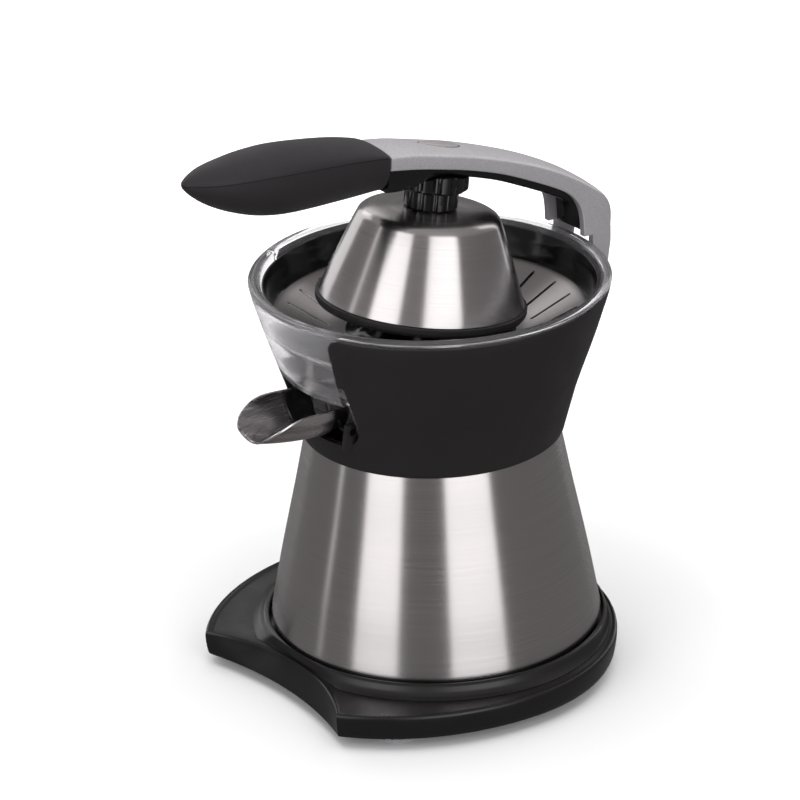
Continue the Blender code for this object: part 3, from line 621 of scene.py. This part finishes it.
def collar_shell():
    """Turned funnel with its deck and hub."""
    outer = smooth(COLLAR_OUTER, 4)
    outer = [Vector((71.0, COLLAR_BOTTOM)), Vector((71.4, COLLAR_BOTTOM + 0.3))] + outer[1:-1]
    outer += [Vector((97.0, COLLAR_TOP - 0.6)), Vector((96.7, COLLAR_TOP))]
    levels = (COLLAR_TOP, 214, 206, 198, 185.5, 174, 163, DECK_TOP + 3)
    wall = [(collar_radius(z) - COLLAR_WALL, z) for z in levels]
    foot = collar_radius(DECK_TOP) - COLLAR_WALL
    hub_top, bore = 172.0, 8.0
    inside = wall + [(foot - 2, DECK_TOP), (HUB_RADIUS + 0.6, DECK_TOP), (HUB_RADIUS, DECK_TOP + 0.8),
                     (HUB_RADIUS, hub_top - 0.5), (HUB_RADIUS - 0.5, hub_top), (bore, hub_top),
                     (bore, DECK_TOP - 3), (foot - 1.5, DECK_TOP - 3), (68.5, COLLAR_BOTTOM)]
    return turned(outer + inside)


def collar_spine():
    """Upright rib down the rear of the funnel, which carries the hinge lug."""
    low = COLLAR_BOTTOM + 2
    outside = smooth([(79.0, low), (82.8, 149), (88.5, 160), (94.5, 174), (101.3, 190), (105.4, 203)], 4)
    inside = [(collar_radius(z) - 2.6, z) for z in (203, 190, 174, 155, low)]
    return side_prism(outside + inside, -SPINE_HALF_WIDTH, SPINE_HALF_WIDTH)


def hinge_lug():
    """Lug with a round top about the hinge pin."""
    foot = 200
    outline = [(PIVOT_Y - LUG_RADIUS, foot), (PIVOT_Y + 2, foot)]
    outline += arc((PIVOT_Y, PIVOT_Z), LUG_RADIUS, 0, 7.5, 25)
    return side_prism(outline, -LUG_HALF_WIDTH, LUG_HALF_WIDTH)


def collar():
    """Matte funnel with spine and lug, cut for the window and the spout, and the spout's two cheeks."""
    shell = joined(collar_shell(), collar_spine(), hinge_lug())
    levels = window_levels(WINDOW_SILL, COLLAR_TOP) + [COLLAR_TOP + 6]
    beyond = 110
    window = sector(lambda z: beyond, lambda z: collar_radius(min(z, COLLAR_TOP)) - 8, levels,
                    lambda z: WINDOW_LEFT - corner_flare(z), lambda z: WINDOW_RIGHT + corner_flare(z), 40)
    lobe = skin([[Vector((x, y, z)) for x, z in lobe_outline()] for y in (-64.5, -100)])
    shell = carved(shell, window, lobe, rod_x(HINGE_HOLE, -14, 14, PIVOT_Y, PIVOT_Z))
    shell = joined(shell, side_prism(SPOUT_CHEEK, SPOUT_CHEEK_INNER, SPOUT_CHEEK_OUTER),
                   side_prism(SPOUT_CHEEK, -SPOUT_CHEEK_OUTER, -SPOUT_CHEEK_INNER))
    return carved(shell, rod_x(SPOUT_AXLE + GAP, -26, 26, SPOUT_PIVOT_Y, SPOUT_PIVOT_Z))


BOWL_FLOOR = DECK_TOP + BOWL_GAP
CHAMBER_HALF_WIDTH, CHAMBER_WALL = 29.0, 2.2
NOZZLE_RADIUS, NOZZLE_BORE, NOZZLE_Z = 8.0, 6.2, 166.2
NOZZLE_TIP = -73.0


def bowl_outside(z):
    return collar_radius(z) - COLLAR_WALL - BOWL_GAP


def bowl_shell():
    """Turned bowl: rolled rim, wall, ledge for the strainer, floor and hub."""
    rim, floor = RIM_RADIUS, BOWL_FLOOR
    hub_inner, hub_outer, hub_top = 13.0, 15.2, 186.0
    outside = [(rim - 0.4, COLLAR_TOP + 0.9), (rim - 1.2, COLLAR_TOP + 0.5),
               (bowl_outside(COLLAR_TOP), COLLAR_TOP + 0.4)]
    outside += [(bowl_outside(z), z) for z in (COLLAR_TOP - 1.5, 208, 198, 185.5, 174, 163, floor + 2)]
    outside += [(bowl_outside(floor) - 1.5, floor), (hub_inner, floor), (hub_inner, hub_top - 0.5),
                (hub_inner + 0.6, hub_top), (hub_outer - 0.6, hub_top), (hub_outer, hub_top - 0.5),
                (hub_outer, floor + 4), (hub_outer + 1.3, floor + 2.5)]
    inside = [(bowl_outside(floor) - 6, floor + 2.5), (bowl_outside(floor) - 3, floor + 4),
              (bowl_outside(174) - 2.5, 174), (bowl_outside(185.5) - 2.6, 185.5), (83.4, 199),
              (83.4, LEDGE_TOP), (STRAINER_RADIUS + 0.5, LEDGE_TOP), (88.4, 212), (90.6, RIM_TOP - 4.2),
              (91.0, RIM_TOP - 2.6), (91.8, RIM_TOP - 1.1), (92.8, RIM_TOP - 0.3), (94.0, RIM_TOP),
              (95.4, RIM_TOP - 0.1), (96.5, RIM_TOP - 0.6), (97.2, RIM_TOP - 1.3), (rim, RIM_TOP - 2.0)]
    return turned(outside + inside)


def window_bay():
    """The bowl's wall stands out to the collar's surface where the window is."""
    levels = window_levels(WINDOW_SILL + 0.6, COLLAR_TOP - 0.2)
    levels += [COLLAR_TOP + 0.4, COLLAR_TOP + 1.0]
    clearance = 0.35         # in degrees, to each side of the window

    def left(z):
        return WINDOW_LEFT - corner_flare(min(z, COLLAR_TOP)) + clearance

    def right(z):
        return WINDOW_RIGHT + corner_flare(min(z, COLLAR_TOP)) - clearance

    def outside(z):
        return collar_radius(min(z, COLLAR_TOP)) - 0.1

    def inside(z):
        return bowl_outside(min(z, COLLAR_TOP)) - 1.2

    return sector(outside, inside, levels, left, right, 48)


def outlet_chamber():
    """Solid box at the front of the bowl, kept within the bowl's outside."""
    top = 185.5
    side = [(bowl_outside(z), z) for z in (BOWL_FLOOR, 163, 174, top)]
    within = turned([(0, BOWL_FLOOR)] + side + [(0, top)], closed=False)
    box = block((-CHAMBER_HALF_WIDTH, -95, 150), (CHAMBER_HALF_WIDTH, -63.6, 179.8))
    return combined(box, within, "INTERSECT")


def clear_bowl():
    """Clear bowl with the bay that fills the window, the chamber behind the spout and the outlet nozzle."""
    shell = joined(bowl_shell(), window_bay(), outlet_chamber())
    half = CHAMBER_HALF_WIDTH - CHAMBER_WALL
    shell = carved(shell, block((-half, -110, 140), (half, -66.0, WINDOW_SILL + 0.5)))
    shell = joined(shell, rod_y(NOZZLE_RADIUS, NOZZLE_TIP, -64.5, NOZZLE_Z))
    return carved(shell, rod_y(NOZZLE_BORE, -92, -52, NOZZLE_Z))


# ---- strainer and reamer ----

def strainer_dish():
    """Pressed dish: rolled flange, steep cone with radial slots, flat floor with a collar round its hole."""
    seat, floor, sheet, lip = LEDGE_TOP + GAP, 188.0, 1.0, 190.6
    profile = [(STRAINER_RADIUS, seat + sheet), (82.4, seat + sheet), (54.2, floor + sheet),
               (19.6, floor + sheet), (18.8, lip), (17.8, lip), (17.5, floor), (54.5, floor), (82.7, seat),
               (STRAINER_RADIUS, seat)]
    dish = turned(rounded(profile, [0.3, 3.0, 6.0, 0.8, 0.3, 0.3, 0.4, 6.0, 3.0, 0.3], 5))
    slots = bmesh.new()
    slot_count, inner, outer, half_width = 26, 57.0, 78.0, 1.0
    outline = arc((outer, 0), half_width, -90, 30, 7) + arc((inner, 0), half_width, 90, 30, 7)
    for i in range(slot_count):
        slot = prism(outline, floor - 3, 225)
        slot.transform(Matrix.Rotation(2 * math.pi * i / slot_count, 4, "Z"))
        mesh = mesh_of("slot", slot)
        slots.from_mesh(mesh)
        bpy.data.meshes.remove(mesh)
    return carved(dish, slots)


def strainer_painted_shade_band():
    """Gloss black band that stands on the strainer's flange and lines the bowl's wall: painted shade, a dark
    sheet for the dark ring that the collar gives through the clear wall.
    """
    low, high = LEDGE_TOP + 1.7, RIM_TOP - 4.6
    outside = [(STRAINER_RADIUS + 0.1, low), (88.1, 212), (90.3, high)]
    thickness = 0.9
    inside = [(radius - thickness, z) for radius, z in reversed(outside)]
    return turned(rounded(outside + inside, [0.1, 2.0, 0.2, 0.2, 2.0, 0.1], 3))


def reamer_cone():
    """Reamer with eight deep ribs and a fine one between each pair, on a round skirt."""
    sides, ribs, tip, bore_top = 192, 8, 239.5, 200.5
    outer = smooth([(46.0, 193.0, 0.0), (42.5, 194.4, 0.0), (38.5, 198.0, 0.05), (34.5, 206, 0.16),
                    (28.5, 217, 0.20), (21.0, 227.5, 0.20), (12.0, 235.5, 0.14), (4.0, 239.0, 0.03)], 5)
    rings = []
    for radius, z, depth in outer:
        ring = []
        for i in range(sides):
            angle = 2 * math.pi * i / sides
            deep = 1 - abs(math.cos(ribs / 2 * angle)) ** 0.7
            fine = 1 - abs(math.cos(ribs * angle)) ** 2
            reach = radius * (1 - depth * (0.8 * deep + 0.2 * fine))
            ring.append(polar(reach, angle, z))
        rings.append(ring)
    under = [(45.6, 192.3), (43.5, 192.3), (36.0, 194.8), (26.0, 205.5), (19.5, 216), (7.6, 226),
             (7.6, 183.7), (7.3, 183.5), (5.6, 183.5), (5.6, bore_top)]
    rings = [[Vector((0, 0, tip))]] + rings[::-1]
    rings += [circle(radius, z, sides) for radius, z in under] + [[Vector((0, 0, bore_top))]]
    return skin(rings)


# ---- spring under the reamer's shaft ----

SPRING_SEAT, SPRING_TOP = 118.3, 127.7


def return_spring():
    """Three turns of round wire."""
    radius, wire, turns, steps, sides = 9.6, 0.9, 3, 40, 12
    rise = SPRING_TOP - SPRING_SEAT - 2 * wire
    rings = []
    for i in range(turns * steps + 1):
        angle = 2 * math.pi * i / steps
        height = SPRING_SEAT + wire + rise * i / (turns * steps)
        ring = []
        for j in range(sides):
            around = 2 * math.pi * j / sides
            reach = radius + wire * math.cos(around)
            z = height + wire * math.sin(around)
            ring.append(Vector((reach * math.cos(angle), reach * math.sin(angle), z)))
        rings.append(ring)
    return skin(rings)


# ---- spout ----

SPOUT_AXIS_Z = 173.0
SPOUT_RADIUS = 20.1
SCOOP_START = -79.0          # where the steel scoop leaves its black holder


def spout_rise(y):
    """Height of the trough's axis: it climbs a little, and more at the lip."""
    out = SCOOP_START - y
    return SPOUT_AXIS_Z + 0.05 * out + 0.0028 * max(out, 0) ** 2


def trough(stations):
    """Half-round channel: stations are (y, axis height, outer radius, inner radius, half angle)."""
    sides, edge = 40, 1.6    # edge: how far, in degrees, the middle of the sheet's edge stands out

    def at(y, axis, radius, degrees):
        angle = math.radians(degrees)
        return Vector((radius * math.sin(angle), y, axis - radius * math.cos(angle)))

    rings = []
    for y, axis, outer, inside, half in stations:
        steps = [half * (2 * i / sides - 1) for i in range(sides + 1)]
        rim = (outer + inside) / 2
        ring = [at(y, axis, outer, step) for step in steps] + [at(y, axis, rim, half + edge)]
        ring += [at(y, axis, inside, step) for step in reversed(steps)] + [at(y, axis, rim, -half - edge)]
        rings.append(ring)
    return skin(rings)


def spout_scoop():
    """Steel scoop whose sides fall in a curve to an oblique lip with a turned edge."""
    sides = smooth([(SCOOP_START, 88.0), (-90.0, 88.0), (-98.0, 86.0), (-105.0, 78.5), (-111.0, 66.5),
                    (-115.5, 54.0), (-118.3, 42.0)], 6)
    stations = [(y, spout_rise(y), SPOUT_RADIUS, SPOUT_RADIUS - 1.2, half) for y, half in sides]
    for y, turn, half in ((-119.0, 0.0, 38.0), (-119.4, -0.25, 35.0)):
        stations.append((y, spout_rise(y) + turn, SPOUT_RADIUS - 0.1, SPOUT_RADIUS - 1.0, half))
    return trough(stations)


def spout_root():
    """Black pivoting end of the spout: holder, inner tongue and a stub axle on each side."""
    axis = SPOUT_AXIS_Z
    stations = [(-69.0, axis, 19.6, 17.4, 86), (-69.4, axis, SPOUT_RADIUS, 17.4, 86),
                (-78.3, axis, SPOUT_RADIUS, 17.4, 88), (-78.7, axis, 19.7, 17.4, 88),
                (-78.71, axis, 18.5, 17.4, 88), (-84.6, axis + 0.2, 18.5, 17.5, 88),
                (-85.0, axis + 0.3, 18.3, 17.9, 88)]
    stub, half = 19, 5.8     # middle and half length of each stub
    stubs = [rod_x(SPOUT_AXLE, side * stub - half, side * stub + half, SPOUT_PIVOT_Y, SPOUT_PIVOT_Z)
             for side in (-1, 1)]
    return joined(trough(stations), *stubs)


# ---- arm ----

ARM_HALF_WIDTH = 17.5
CHANNEL_HALF_WIDTH = 13.6
CHEEK_RADIUS = 6.0
CHEEK_FRONT = 98.2           # the cheeks stay behind the bowl's rim
ARM_STEPS = 6                # from one given station to the next
# From grip to post: upper edge (y, z), lower edge (y, z), crown of the top, drop of the underside.
ARM_STATIONS = smooth([(-35.9, 303.6, -36.5, 296.2, 2.4, 13.5), (-17.8, 300.5, -19.6, 293.1, 2.4, 12.0),
                       (1.7, 295.5, -0.5, 288.5, 2.4, 4.6), (21.5, 290.0, 18.9, 283.1, 2.4, 4.6),
                       (42.0, 283.0, 38.6, 276.2, 2.4, 4.6), (61.7, 275.2, 57.4, 267.7, 2.4, 4.6),
                       (79.0, 266.6, 73.0, 260.0, 2.6, 4.6), (91.5, 259.0, 82.2, 254.2, 3.0, 4.2),
                       (100.3, 252.9, 87.7, 248.2, 3.0, 2.2), (107.3, 247.2, 90.4, 242.5, 2.6, -5.0),
                       (110.8, 240.0, 91.6, 236.5, 2.0, -5.0), (111.0, 231.5, 92.0, 230.5, 1.6, -5.0),
                       (110.5, 227.4, 92.1, 227.4, 1.3, -5.0)], ARM_STEPS)
LINER_INSET = 3.6            # from the arm's upper edge down to the liner
LINER_FRONT, LINER_REAR = -34.5, 101.0
POST_START = 9 * ARM_STEPS   # the post's channel starts at the tenth given station


def station_point(station, x, height):
    """A point x to the side and height above the lower edge, measured along the side's own slope."""
    edge = Vector((0, station[0] - station[2], station[1] - station[3]))
    return Vector((x, station[2], station[3])) + edge.normalized() * height


def station_height(station):
    """Height of the arm's side at a station."""
    return math.hypot(station[0] - station[2], station[1] - station[3])


def arm_casting():
    """Silver channel with rounded edges and a crowned top, ending in two round cheeks at the hinge."""
    wall, edge_radius, steps = 3.2, 1.3, 12
    rings = []
    for station in ARM_STATIONS:
        height, crown = station_height(station), station[4]
        outer = [(-ARM_HALF_WIDTH, 0.0), (-ARM_HALF_WIDTH, height)]
        for step in range(1, steps):
            x = ARM_HALF_WIDTH * (2 * step / steps - 1)
            outer.append((x, height + crown * (1 - (x / ARM_HALF_WIDTH) ** 2)))
        outer += [(ARM_HALF_WIDTH, height), (ARM_HALF_WIDTH, 0.0)]
        inner = [(CHANNEL_HALF_WIDTH, 0.0), (CHANNEL_HALF_WIDTH, height - wall),
                 (-CHANNEL_HALF_WIDTH, height - wall), (-CHANNEL_HALF_WIDTH, 0.0)]
        radii = [0.7, edge_radius] + [0.0] * (steps - 1) + [edge_radius, 0.7, 0.5, 1.0, 1.0, 0.5]
        rings.append([station_point(station, x, h) for x, h in rounded(outer + inner, radii, 4)])
    rear, top = ARM_STATIONS[-1][0], 229.6
    cheek = [(rear, top), (CHEEK_FRONT, top), (CHEEK_FRONT, 216)]
    cheek += arc((PIVOT_Y, PIVOT_Z), CHEEK_RADIUS, 180, 5.625, 33) + [(rear, 221)]
    pocket = prism(button_outline(BUTTON_POCKET), -9, 9)
    pocket.transform(button_frame())
    shell = joined(skin(rings), side_prism(cheek, CHANNEL_HALF_WIDTH, ARM_HALF_WIDTH),
                   side_prism(cheek, -ARM_HALF_WIDTH, -CHANNEL_HALF_WIDTH))
    return carved(shell, rod_x(HINGE_HOLE, -18, 18, PIVOT_Y, PIVOT_Z), pocket)


def liner_ring(station):
    """Section of the black moulding that lies in the arm's channel."""
    half = CHANNEL_HALF_WIDTH - GAP
    top, bottom = station_height(station) - LINER_INSET, -station[5]
    outline = rounded([(half, top), (half, bottom), (-half, bottom), (-half, top)], [0.4, 1.4, 1.4, 0.4], 4)
    return [station_point(station, x, h) for x, h in outline]


def arm_underside():
    """Black moulding that closes the underside of the arm and hangs a little below its sides."""
    usable = [station for station in ARM_STATIONS if LINER_FRONT < station[0] < LINER_REAR]
    button_way = joined(disc(4.2, -11, -2), disc(2.2, -40, -10))
    button_way.transform(button_frame())
    return carved(skin([liner_ring(station) for station in usable]), button_way)


def post_channel():
    """Black moulding inside the post."""
    return skin([liner_ring(station) for station in ARM_STATIONS[POST_START:]])


# Grip: y, half width, level of the side ridge, crown above it, depth below it.
GRIP_STATIONS = smooth([(-36.9, 17.5, 303.3, 2.7, 21.6), (-41.0, 18.0, 304.3, 4.7, 22.4),
                        (-61.0, 19.0, 307.0, 7.4, 25.0), (-92.0, 19.5, 309.7, 9.7, 26.8),
                        (-111.0, 18.5, 310.9, 9.2, 25.0), (-127.0, 15.6, 311.2, 8.2, 19.8),
                        (-140.0, 11.6, 311.4, 6.8, 13.4), (-148.5, 7.0, 311.6, 4.4, 7.4),
                        (-153.3, 3.2, 311.8, 2.0, 2.8)], 7)
GRIP_TIP = Vector((0, -155.0, 311.9))


def grip_shell(top):
    """Upper or lower shell of the soft grip; they meet at the ridge along its sides."""
    steps = 40
    crown_bulge, belly_bulge = 1.1, 0.82     # below 1 fuller than an ellipse, above 1 leaner
    rings = []
    for y, half, ridge, crown, depth in GRIP_STATIONS:
        ring = []
        for i in range(steps + 1):
            angle = math.pi * i / steps
            if top:
                rise = crown * math.sin(angle) ** crown_bulge + GAP / 2
            else:
                rise = -depth * math.sin(angle) ** belly_bulge - GAP / 2
            ring.append(Vector((half * math.cos(angle), y, ridge + rise)))
        rings.append(ring)
    offset = Vector((0, 0, GAP if top else -GAP))
    return skin(rings + [[GRIP_TIP + offset]])


# ---- release button ----

BUTTON_Y, BUTTON_Z, BUTTON_TILT = 7.0, 296.5, 15.2
BUTTON_HALF_LENGTH, BUTTON_HALF_WIDTH = 13.0, 5.6
BUTTON_POCKET = 0.8          # gap between the button and its pocket


def button_frame():
    return Matrix.Translation((0, BUTTON_Y, BUTTON_Z)) @ Matrix.Rotation(math.radians(-BUTTON_TILT), 4, "X")


def button_outline(grow=0.0):
    """Teardrop: a round rear end and a drawn-out front."""
    swell = 0.35             # how much wider the rear half is than an ellipse, as a share
    points = []
    for i in range(SMALL):
        angle = 2 * math.pi * i / SMALL
        along = BUTTON_HALF_LENGTH * math.cos(angle)
        width = BUTTON_HALF_WIDTH * math.sin(angle) * (1 + swell * math.cos(angle))
        points.append((width + grow * math.sin(angle), along + grow * math.cos(angle)))
    return points


def release_button():
    """Crowned cap with a soft edge."""
    rings = [[Vector((x, y, -3.0)) for x, y in button_outline()]]
    for inset, z in ((0.0, -0.5), (0.1, 0.0), (0.4, 0.3), (1.2, 0.5), (2.6, 0.6), (4.2, 0.62)):
        rings.append([Vector((x, y, z)) for x, y in button_outline(-inset)])
    return skin(rings)


# ---- dome ----

DOME_RIM_Y, DOME_RIM_Z, DOME_TILT = -6.5, 207.9, 8.04


def dome_frame():
    return Matrix.Translation((0, DOME_RIM_Y, DOME_RIM_Z)) @ Matrix.Rotation(math.radians(-DOME_TILT), 4, "X")


def press_cap():
    """Spun steel dome with a rounded shoulder and a slightly conical top."""
    outer = smooth([(55.6, 5.2), (52.0, 14.9), (48.3, 24.8), (44.6, 34.6), (41.2, 43.6), (39.3, 48.3),
                    (38.0, 50.9), (35.6, 52.9), (31.8, 54.0), (26.0, 54.6), (18.0, 55.0), (9.0, 55.4)], 5)
    inner = [(9.0, 54.2), (29.6, 53.4), (34.6, 52.2), (36.8, 50.3), (38.0, 48.2), (54.4, 5.1)]
    return turned(outer + inner + [(55.2, 4.95)])


def press_cap_lip():
    """Black inner cap; its stepped lip shows below the steel."""
    corners = [(56.2, 0.0), (57.1, 1.4), (57.1, 4.7), (54.2, 4.8), (37.7, 48.0), (36.5, 50.1), (34.4, 51.9),
               (29.4, 53.1), (6.0, 53.9)]
    outside = rounded(corners, [0.4, 0.6, 0.5, 0.2, 2, 1, 1, 2, 0], 4, closed=False)
    inside = [(6.0, 51.9), (28.5, 51.0), (33.0, 49.0), (35.5, 46.5), (52.6, 0.4), (53.4, 0.0)]
    return turned(outside + inside)


def fluted(radius, low, high, bore, depth=1.2, edge=0.6):
    """A short column with flutes between wide lands, softened at both ends."""
    flutes, steps = 12, 12
    land, flank = 0.28, 0.08     # half a land and one flank, as shares of a flute's pitch
    rings = []
    for change, z in ((-edge, low), (0.0, low + edge), (0.0, high - edge), (-edge, high)):
        ring = []
        for i in range(flutes * steps):
            turn = (i % steps) / steps
            ramp = min(1.0, max(0.0, (abs(turn - 0.5) - land) / flank))
            reach = radius + change - depth * ramp
            angle = 2 * math.pi * i / (flutes * steps)
            ring.append(polar(reach, angle, z))
        rings.append(ring)
    return carved(skin(rings), disc(bore, low - 5, high + 5))


STEM_BORE = 4.5


def stem_boss():
    """Fluted boss on the dome's top, with a round foot that passes through the steel."""
    foot_radius, foot_low, foot_high = 8.6, 54.2, 56.2
    foot = [(foot_radius, foot_low), (foot_radius, foot_high), (STEM_BORE, foot_high), (STEM_BORE, foot_low)]
    return joined(fluted(14.5, 55.8, 65.9, STEM_BORE), turned(foot, SMALL))


def stem_socket():
    """Fluted socket below the arm; its top follows the underside of the arm."""
    socket = fluted(19.2, 66.2, 80, STEM_BORE, depth=1.6, edge=1.2)
    socket.transform(dome_frame())
    points = []
    for station in ARM_STATIONS:
        if LINER_FRONT < station[0] < 45:
            point = station_point(station, 0, -station[5] - GAP)
            points.append((point.y, point.z))
    above = 320
    outline = points + [(points[-1][0], above), (points[0][0], above)]
    socket = carved(socket, side_prism(outline, -25, 25))
    socket.transform(dome_frame().inverted())
    return socket


# ---- stage ----

CAMERA_AZIMUTH = 53.5        # degrees from the front towards +X


def photographer_camera():
    """Long lens at the product shot's place."""
    distance, height = 2.0, 1.0377
    pitch, yaw, roll = math.radians(-23.92), math.radians(-0.50), math.radians(-1.30)
    turn = Matrix.Rotation(math.radians(CAMERA_AZIMUTH), 3, "Z")
    forward = Vector((math.sin(yaw) * math.cos(pitch), math.cos(yaw) * math.cos(pitch), math.sin(pitch)))
    right = Vector((math.cos(yaw), -math.sin(yaw), 0))
    up = right.cross(forward)
    tilted = (right * math.cos(roll) + up * math.sin(roll), up * math.cos(roll) - right * math.sin(roll))
    data = bpy.data.cameras.new("camera")
    data.lens = 181.57
    data.sensor_width = 36.0
    data.clip_end = 100.0
    camera = in_scene("camera", data)
    axes = Matrix((turn @ tilted[0], turn @ tilted[1], turn @ -forward)).transposed()
    place = turn @ Vector((0, -distance, height))
    camera.matrix_world = Matrix.Translation(place + Vector((0, AXIS_Y * MM, 0))) @ axes.to_4x4()
    bpy.context.scene.camera = camera


def area_light(name, place, width, tall, power):
    """Rectangular light that the camera doesn't see."""
    data = bpy.data.lights.new(name, "AREA")
    data.shape = "RECTANGLE"
    data.size = width
    data.size_y = tall
    data.energy = power
    light = in_scene(name, data)
    light.location = place
    light.visible_camera = False
    return light


def softbox(name, side, distance, height, width, tall, power):
    """Light that faces the object, side degrees to the right of the camera's direction."""
    angle = math.radians(CAMERA_AZIMUTH + side)
    place = Vector((distance * math.sin(angle), AXIS_Y * MM - distance * math.cos(angle), height))
    target = Vector((0, AXIS_Y * MM, 0.15))
    light = area_light(name, place, width, tall, power)
    light.rotation_mode = "QUATERNION"
    light.rotation_quaternion = (target - place).to_track_quat("-Z", "Y")


def overhead(name, height, size, power):
    """Square light above the object, left out of its reflections."""
    light = area_light(name, (0, 0, height), size, size, power)
    light.visible_glossy = False


def pale_floor():
    """White floor that glows more the further it is from the object, so it fades into the background."""
    near, far = 0.18, 1.2    # metres from the middle
    finish = Finish("pale_floor", (0.93, 0.93, 0.93), 0.9)
    finish.tinted(finish.noise(3), 0.01)
    finish.set("Emission Color", (1, 1, 1, 1))
    place = finish.node("ShaderNodeTexCoord")
    reach = finish.node("ShaderNodeVectorMath")
    reach.operation = "LENGTH"
    finish.link(place.outputs["Object"], reach.inputs[0])
    glow = finish.spread(reach.outputs["Value"], 0.04, 1.0, start=near, end=far)
    finish.link(glow, finish.shader.inputs["Emission Strength"])
    bm = block((-FLOOR_SIZE, -FLOOR_SIZE, -40), (FLOOR_SIZE, FLOOR_SIZE, 0))
    bm.transform(Matrix.Scale(MM, 4))
    mesh = mesh_of("floor", bm)
    mesh.materials.append(finish.material)
    floor = in_scene("floor", mesh)
    floor.visible_glossy = False
    floor.visible_diffuse = False


def surroundings():
    """White behind the object and through its clear parts; in reflections a dim room, lighter overhead."""
    world = bpy.data.worlds.new("studio")
    world.use_nodes = True
    tree = world.node_tree
    tree.nodes.clear()
    path = new_node(tree, "ShaderNodeLightPath")
    place = new_node(tree, "ShaderNodeTexCoord")
    parts = new_node(tree, "ShaderNodeSeparateXYZ")
    height = new_node(tree, "ShaderNodeMapRange", From_Min=0.15, To_Min=0.18, To_Max=0.42)
    room = new_node(tree, "ShaderNodeBackground", Color=(1.0, 0.96, 0.97, 1))
    white = new_node(tree, "ShaderNodeBackground", Color=(1, 1, 1, 1))
    seen = new_node(tree, "ShaderNodeMath")
    seen.operation = "MAXIMUM"
    mix = new_node(tree, "ShaderNodeMixShader")
    output = new_node(tree, "ShaderNodeOutputWorld")
    for source, target in ((place.outputs["Generated"], parts.inputs["Vector"]),
                           (parts.outputs["Z"], height.inputs["Value"]),
                           (height.outputs["Result"], room.inputs["Strength"]),
                           (path.outputs["Is Camera Ray"], seen.inputs[0]),
                           (path.outputs["Is Transmission Ray"], seen.inputs[1]),
                           (seen.outputs[0], mix.inputs[0]), (room.outputs[0], mix.inputs[1]),
                           (white.outputs[0], mix.inputs[2]), (mix.outputs[0], output.inputs[0])):
        tree.links.new(source, target)
    bpy.context.scene.world = world
    bpy.context.scene.view_settings.view_transform = "Standard"


def studio():
    """Two tall softboxes and a few strips draw the bands on the steel; a panel overhead lights the rest."""
    surroundings()
    softbox("left_box", -41, 1.5, 0.55, 0.90, 1.6, 8.5)
    softbox("right_box", 28, 1.5, 0.55, 1.12, 1.6, 10.5)
    softbox("thin_strip", -83, 1.5, 0.55, 0.10, 1.6, 0.5)
    softbox("left_edge", -140, 1.5, 0.55, 0.80, 1.4, 3.0)
    softbox("right_edge", 142, 1.5, 0.55, 0.50, 1.4, 2.6)
    softbox("rear_panel", -160, 1.9, 1.15, 1.2, 0.6, 1.6)
    overhead("top_light", 2.2, 2.4, 41)


# ---- assembly ----

def build():
    """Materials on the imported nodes, then the pieces drawn finer in their place."""
    look = materials()
    for name, obj in frame["nodes"].items():
        slot = next(s["material_slot"] for s in frame["record"]["subparts"] if s["node"] == name)
        obj.data.materials.clear()
        obj.data.materials.append(look[slot])

    def add(name, bm, body, slot, *nodes, finish=None, **options):
        return piece(name, bm, look[finish or slot], body, slot, *nodes, **options)

    add("base_shield", base_shield(), "stand", "satin_black", "base_plate")
    add("foot_ring", foot_ring(), "stand", "satin_black", "base_plate")
    add("steel_body", steel_body(), "stand", "brushed_steel", "body_shell")
    add("collar", collar(), "stand", "matte_black", "collar_housing")
    add("clear_bowl", clear_bowl(), "stand", "clear", "juice_bowl")
    add("strainer_dish", strainer_dish(), "stand", "brushed_steel", "strainer", finish="pressed_steel")
    # Painted shade: a gloss black band for the dark ring between the rim and the strainer.
    add("strainer_painted_shade_band", strainer_painted_shade_band(), "stand", "gloss_black", "strainer")
    add("reamer_cone", reamer_cone(), "spindle", "gloss_black", "reamer")
    spring = add("spring_coil", return_spring(), "stand", "bright_steel", "return_spring")
    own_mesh(spring)
    add("spout_lip", spout_scoop(), "spout", "brushed_steel", "spout_scoop", finish="polished_steel")
    add("spout_holder", spout_root(), "spout", "gloss_black", "spout_root")
    add("arm_casting", arm_casting(), "arm", "silver_paint", "arm_shell")
    add("arm_underside", arm_underside(), "arm", "gloss_black", "arm_liner")
    add("post_channel", post_channel(), "arm", "gloss_black", "post_liner")
    add("grip_upper", grip_shell(True), "arm", "soft_black", "grip_top")
    add("grip_lower", grip_shell(False), "arm", "soft_black", "grip_bottom")
    dome = dome_frame()
    add("press_cap", press_cap(), "arm", "brushed_steel", "press_dome", place=dome)
    add("press_cap_lip", press_cap_lip(), "arm", "matte_black", "dome_liner", place=dome)
    add("stem_boss", stem_boss(), "arm", "gloss_black", "dome_boss", place=dome)
    add("stem_socket", stem_socket(), "arm", "gloss_black", "dome_socket", place=dome)
    add("button_cap", release_button(), "button", "button_grey", "release_button", place=button_frame())


photographer_camera()
build()
pale_floor()
studio()
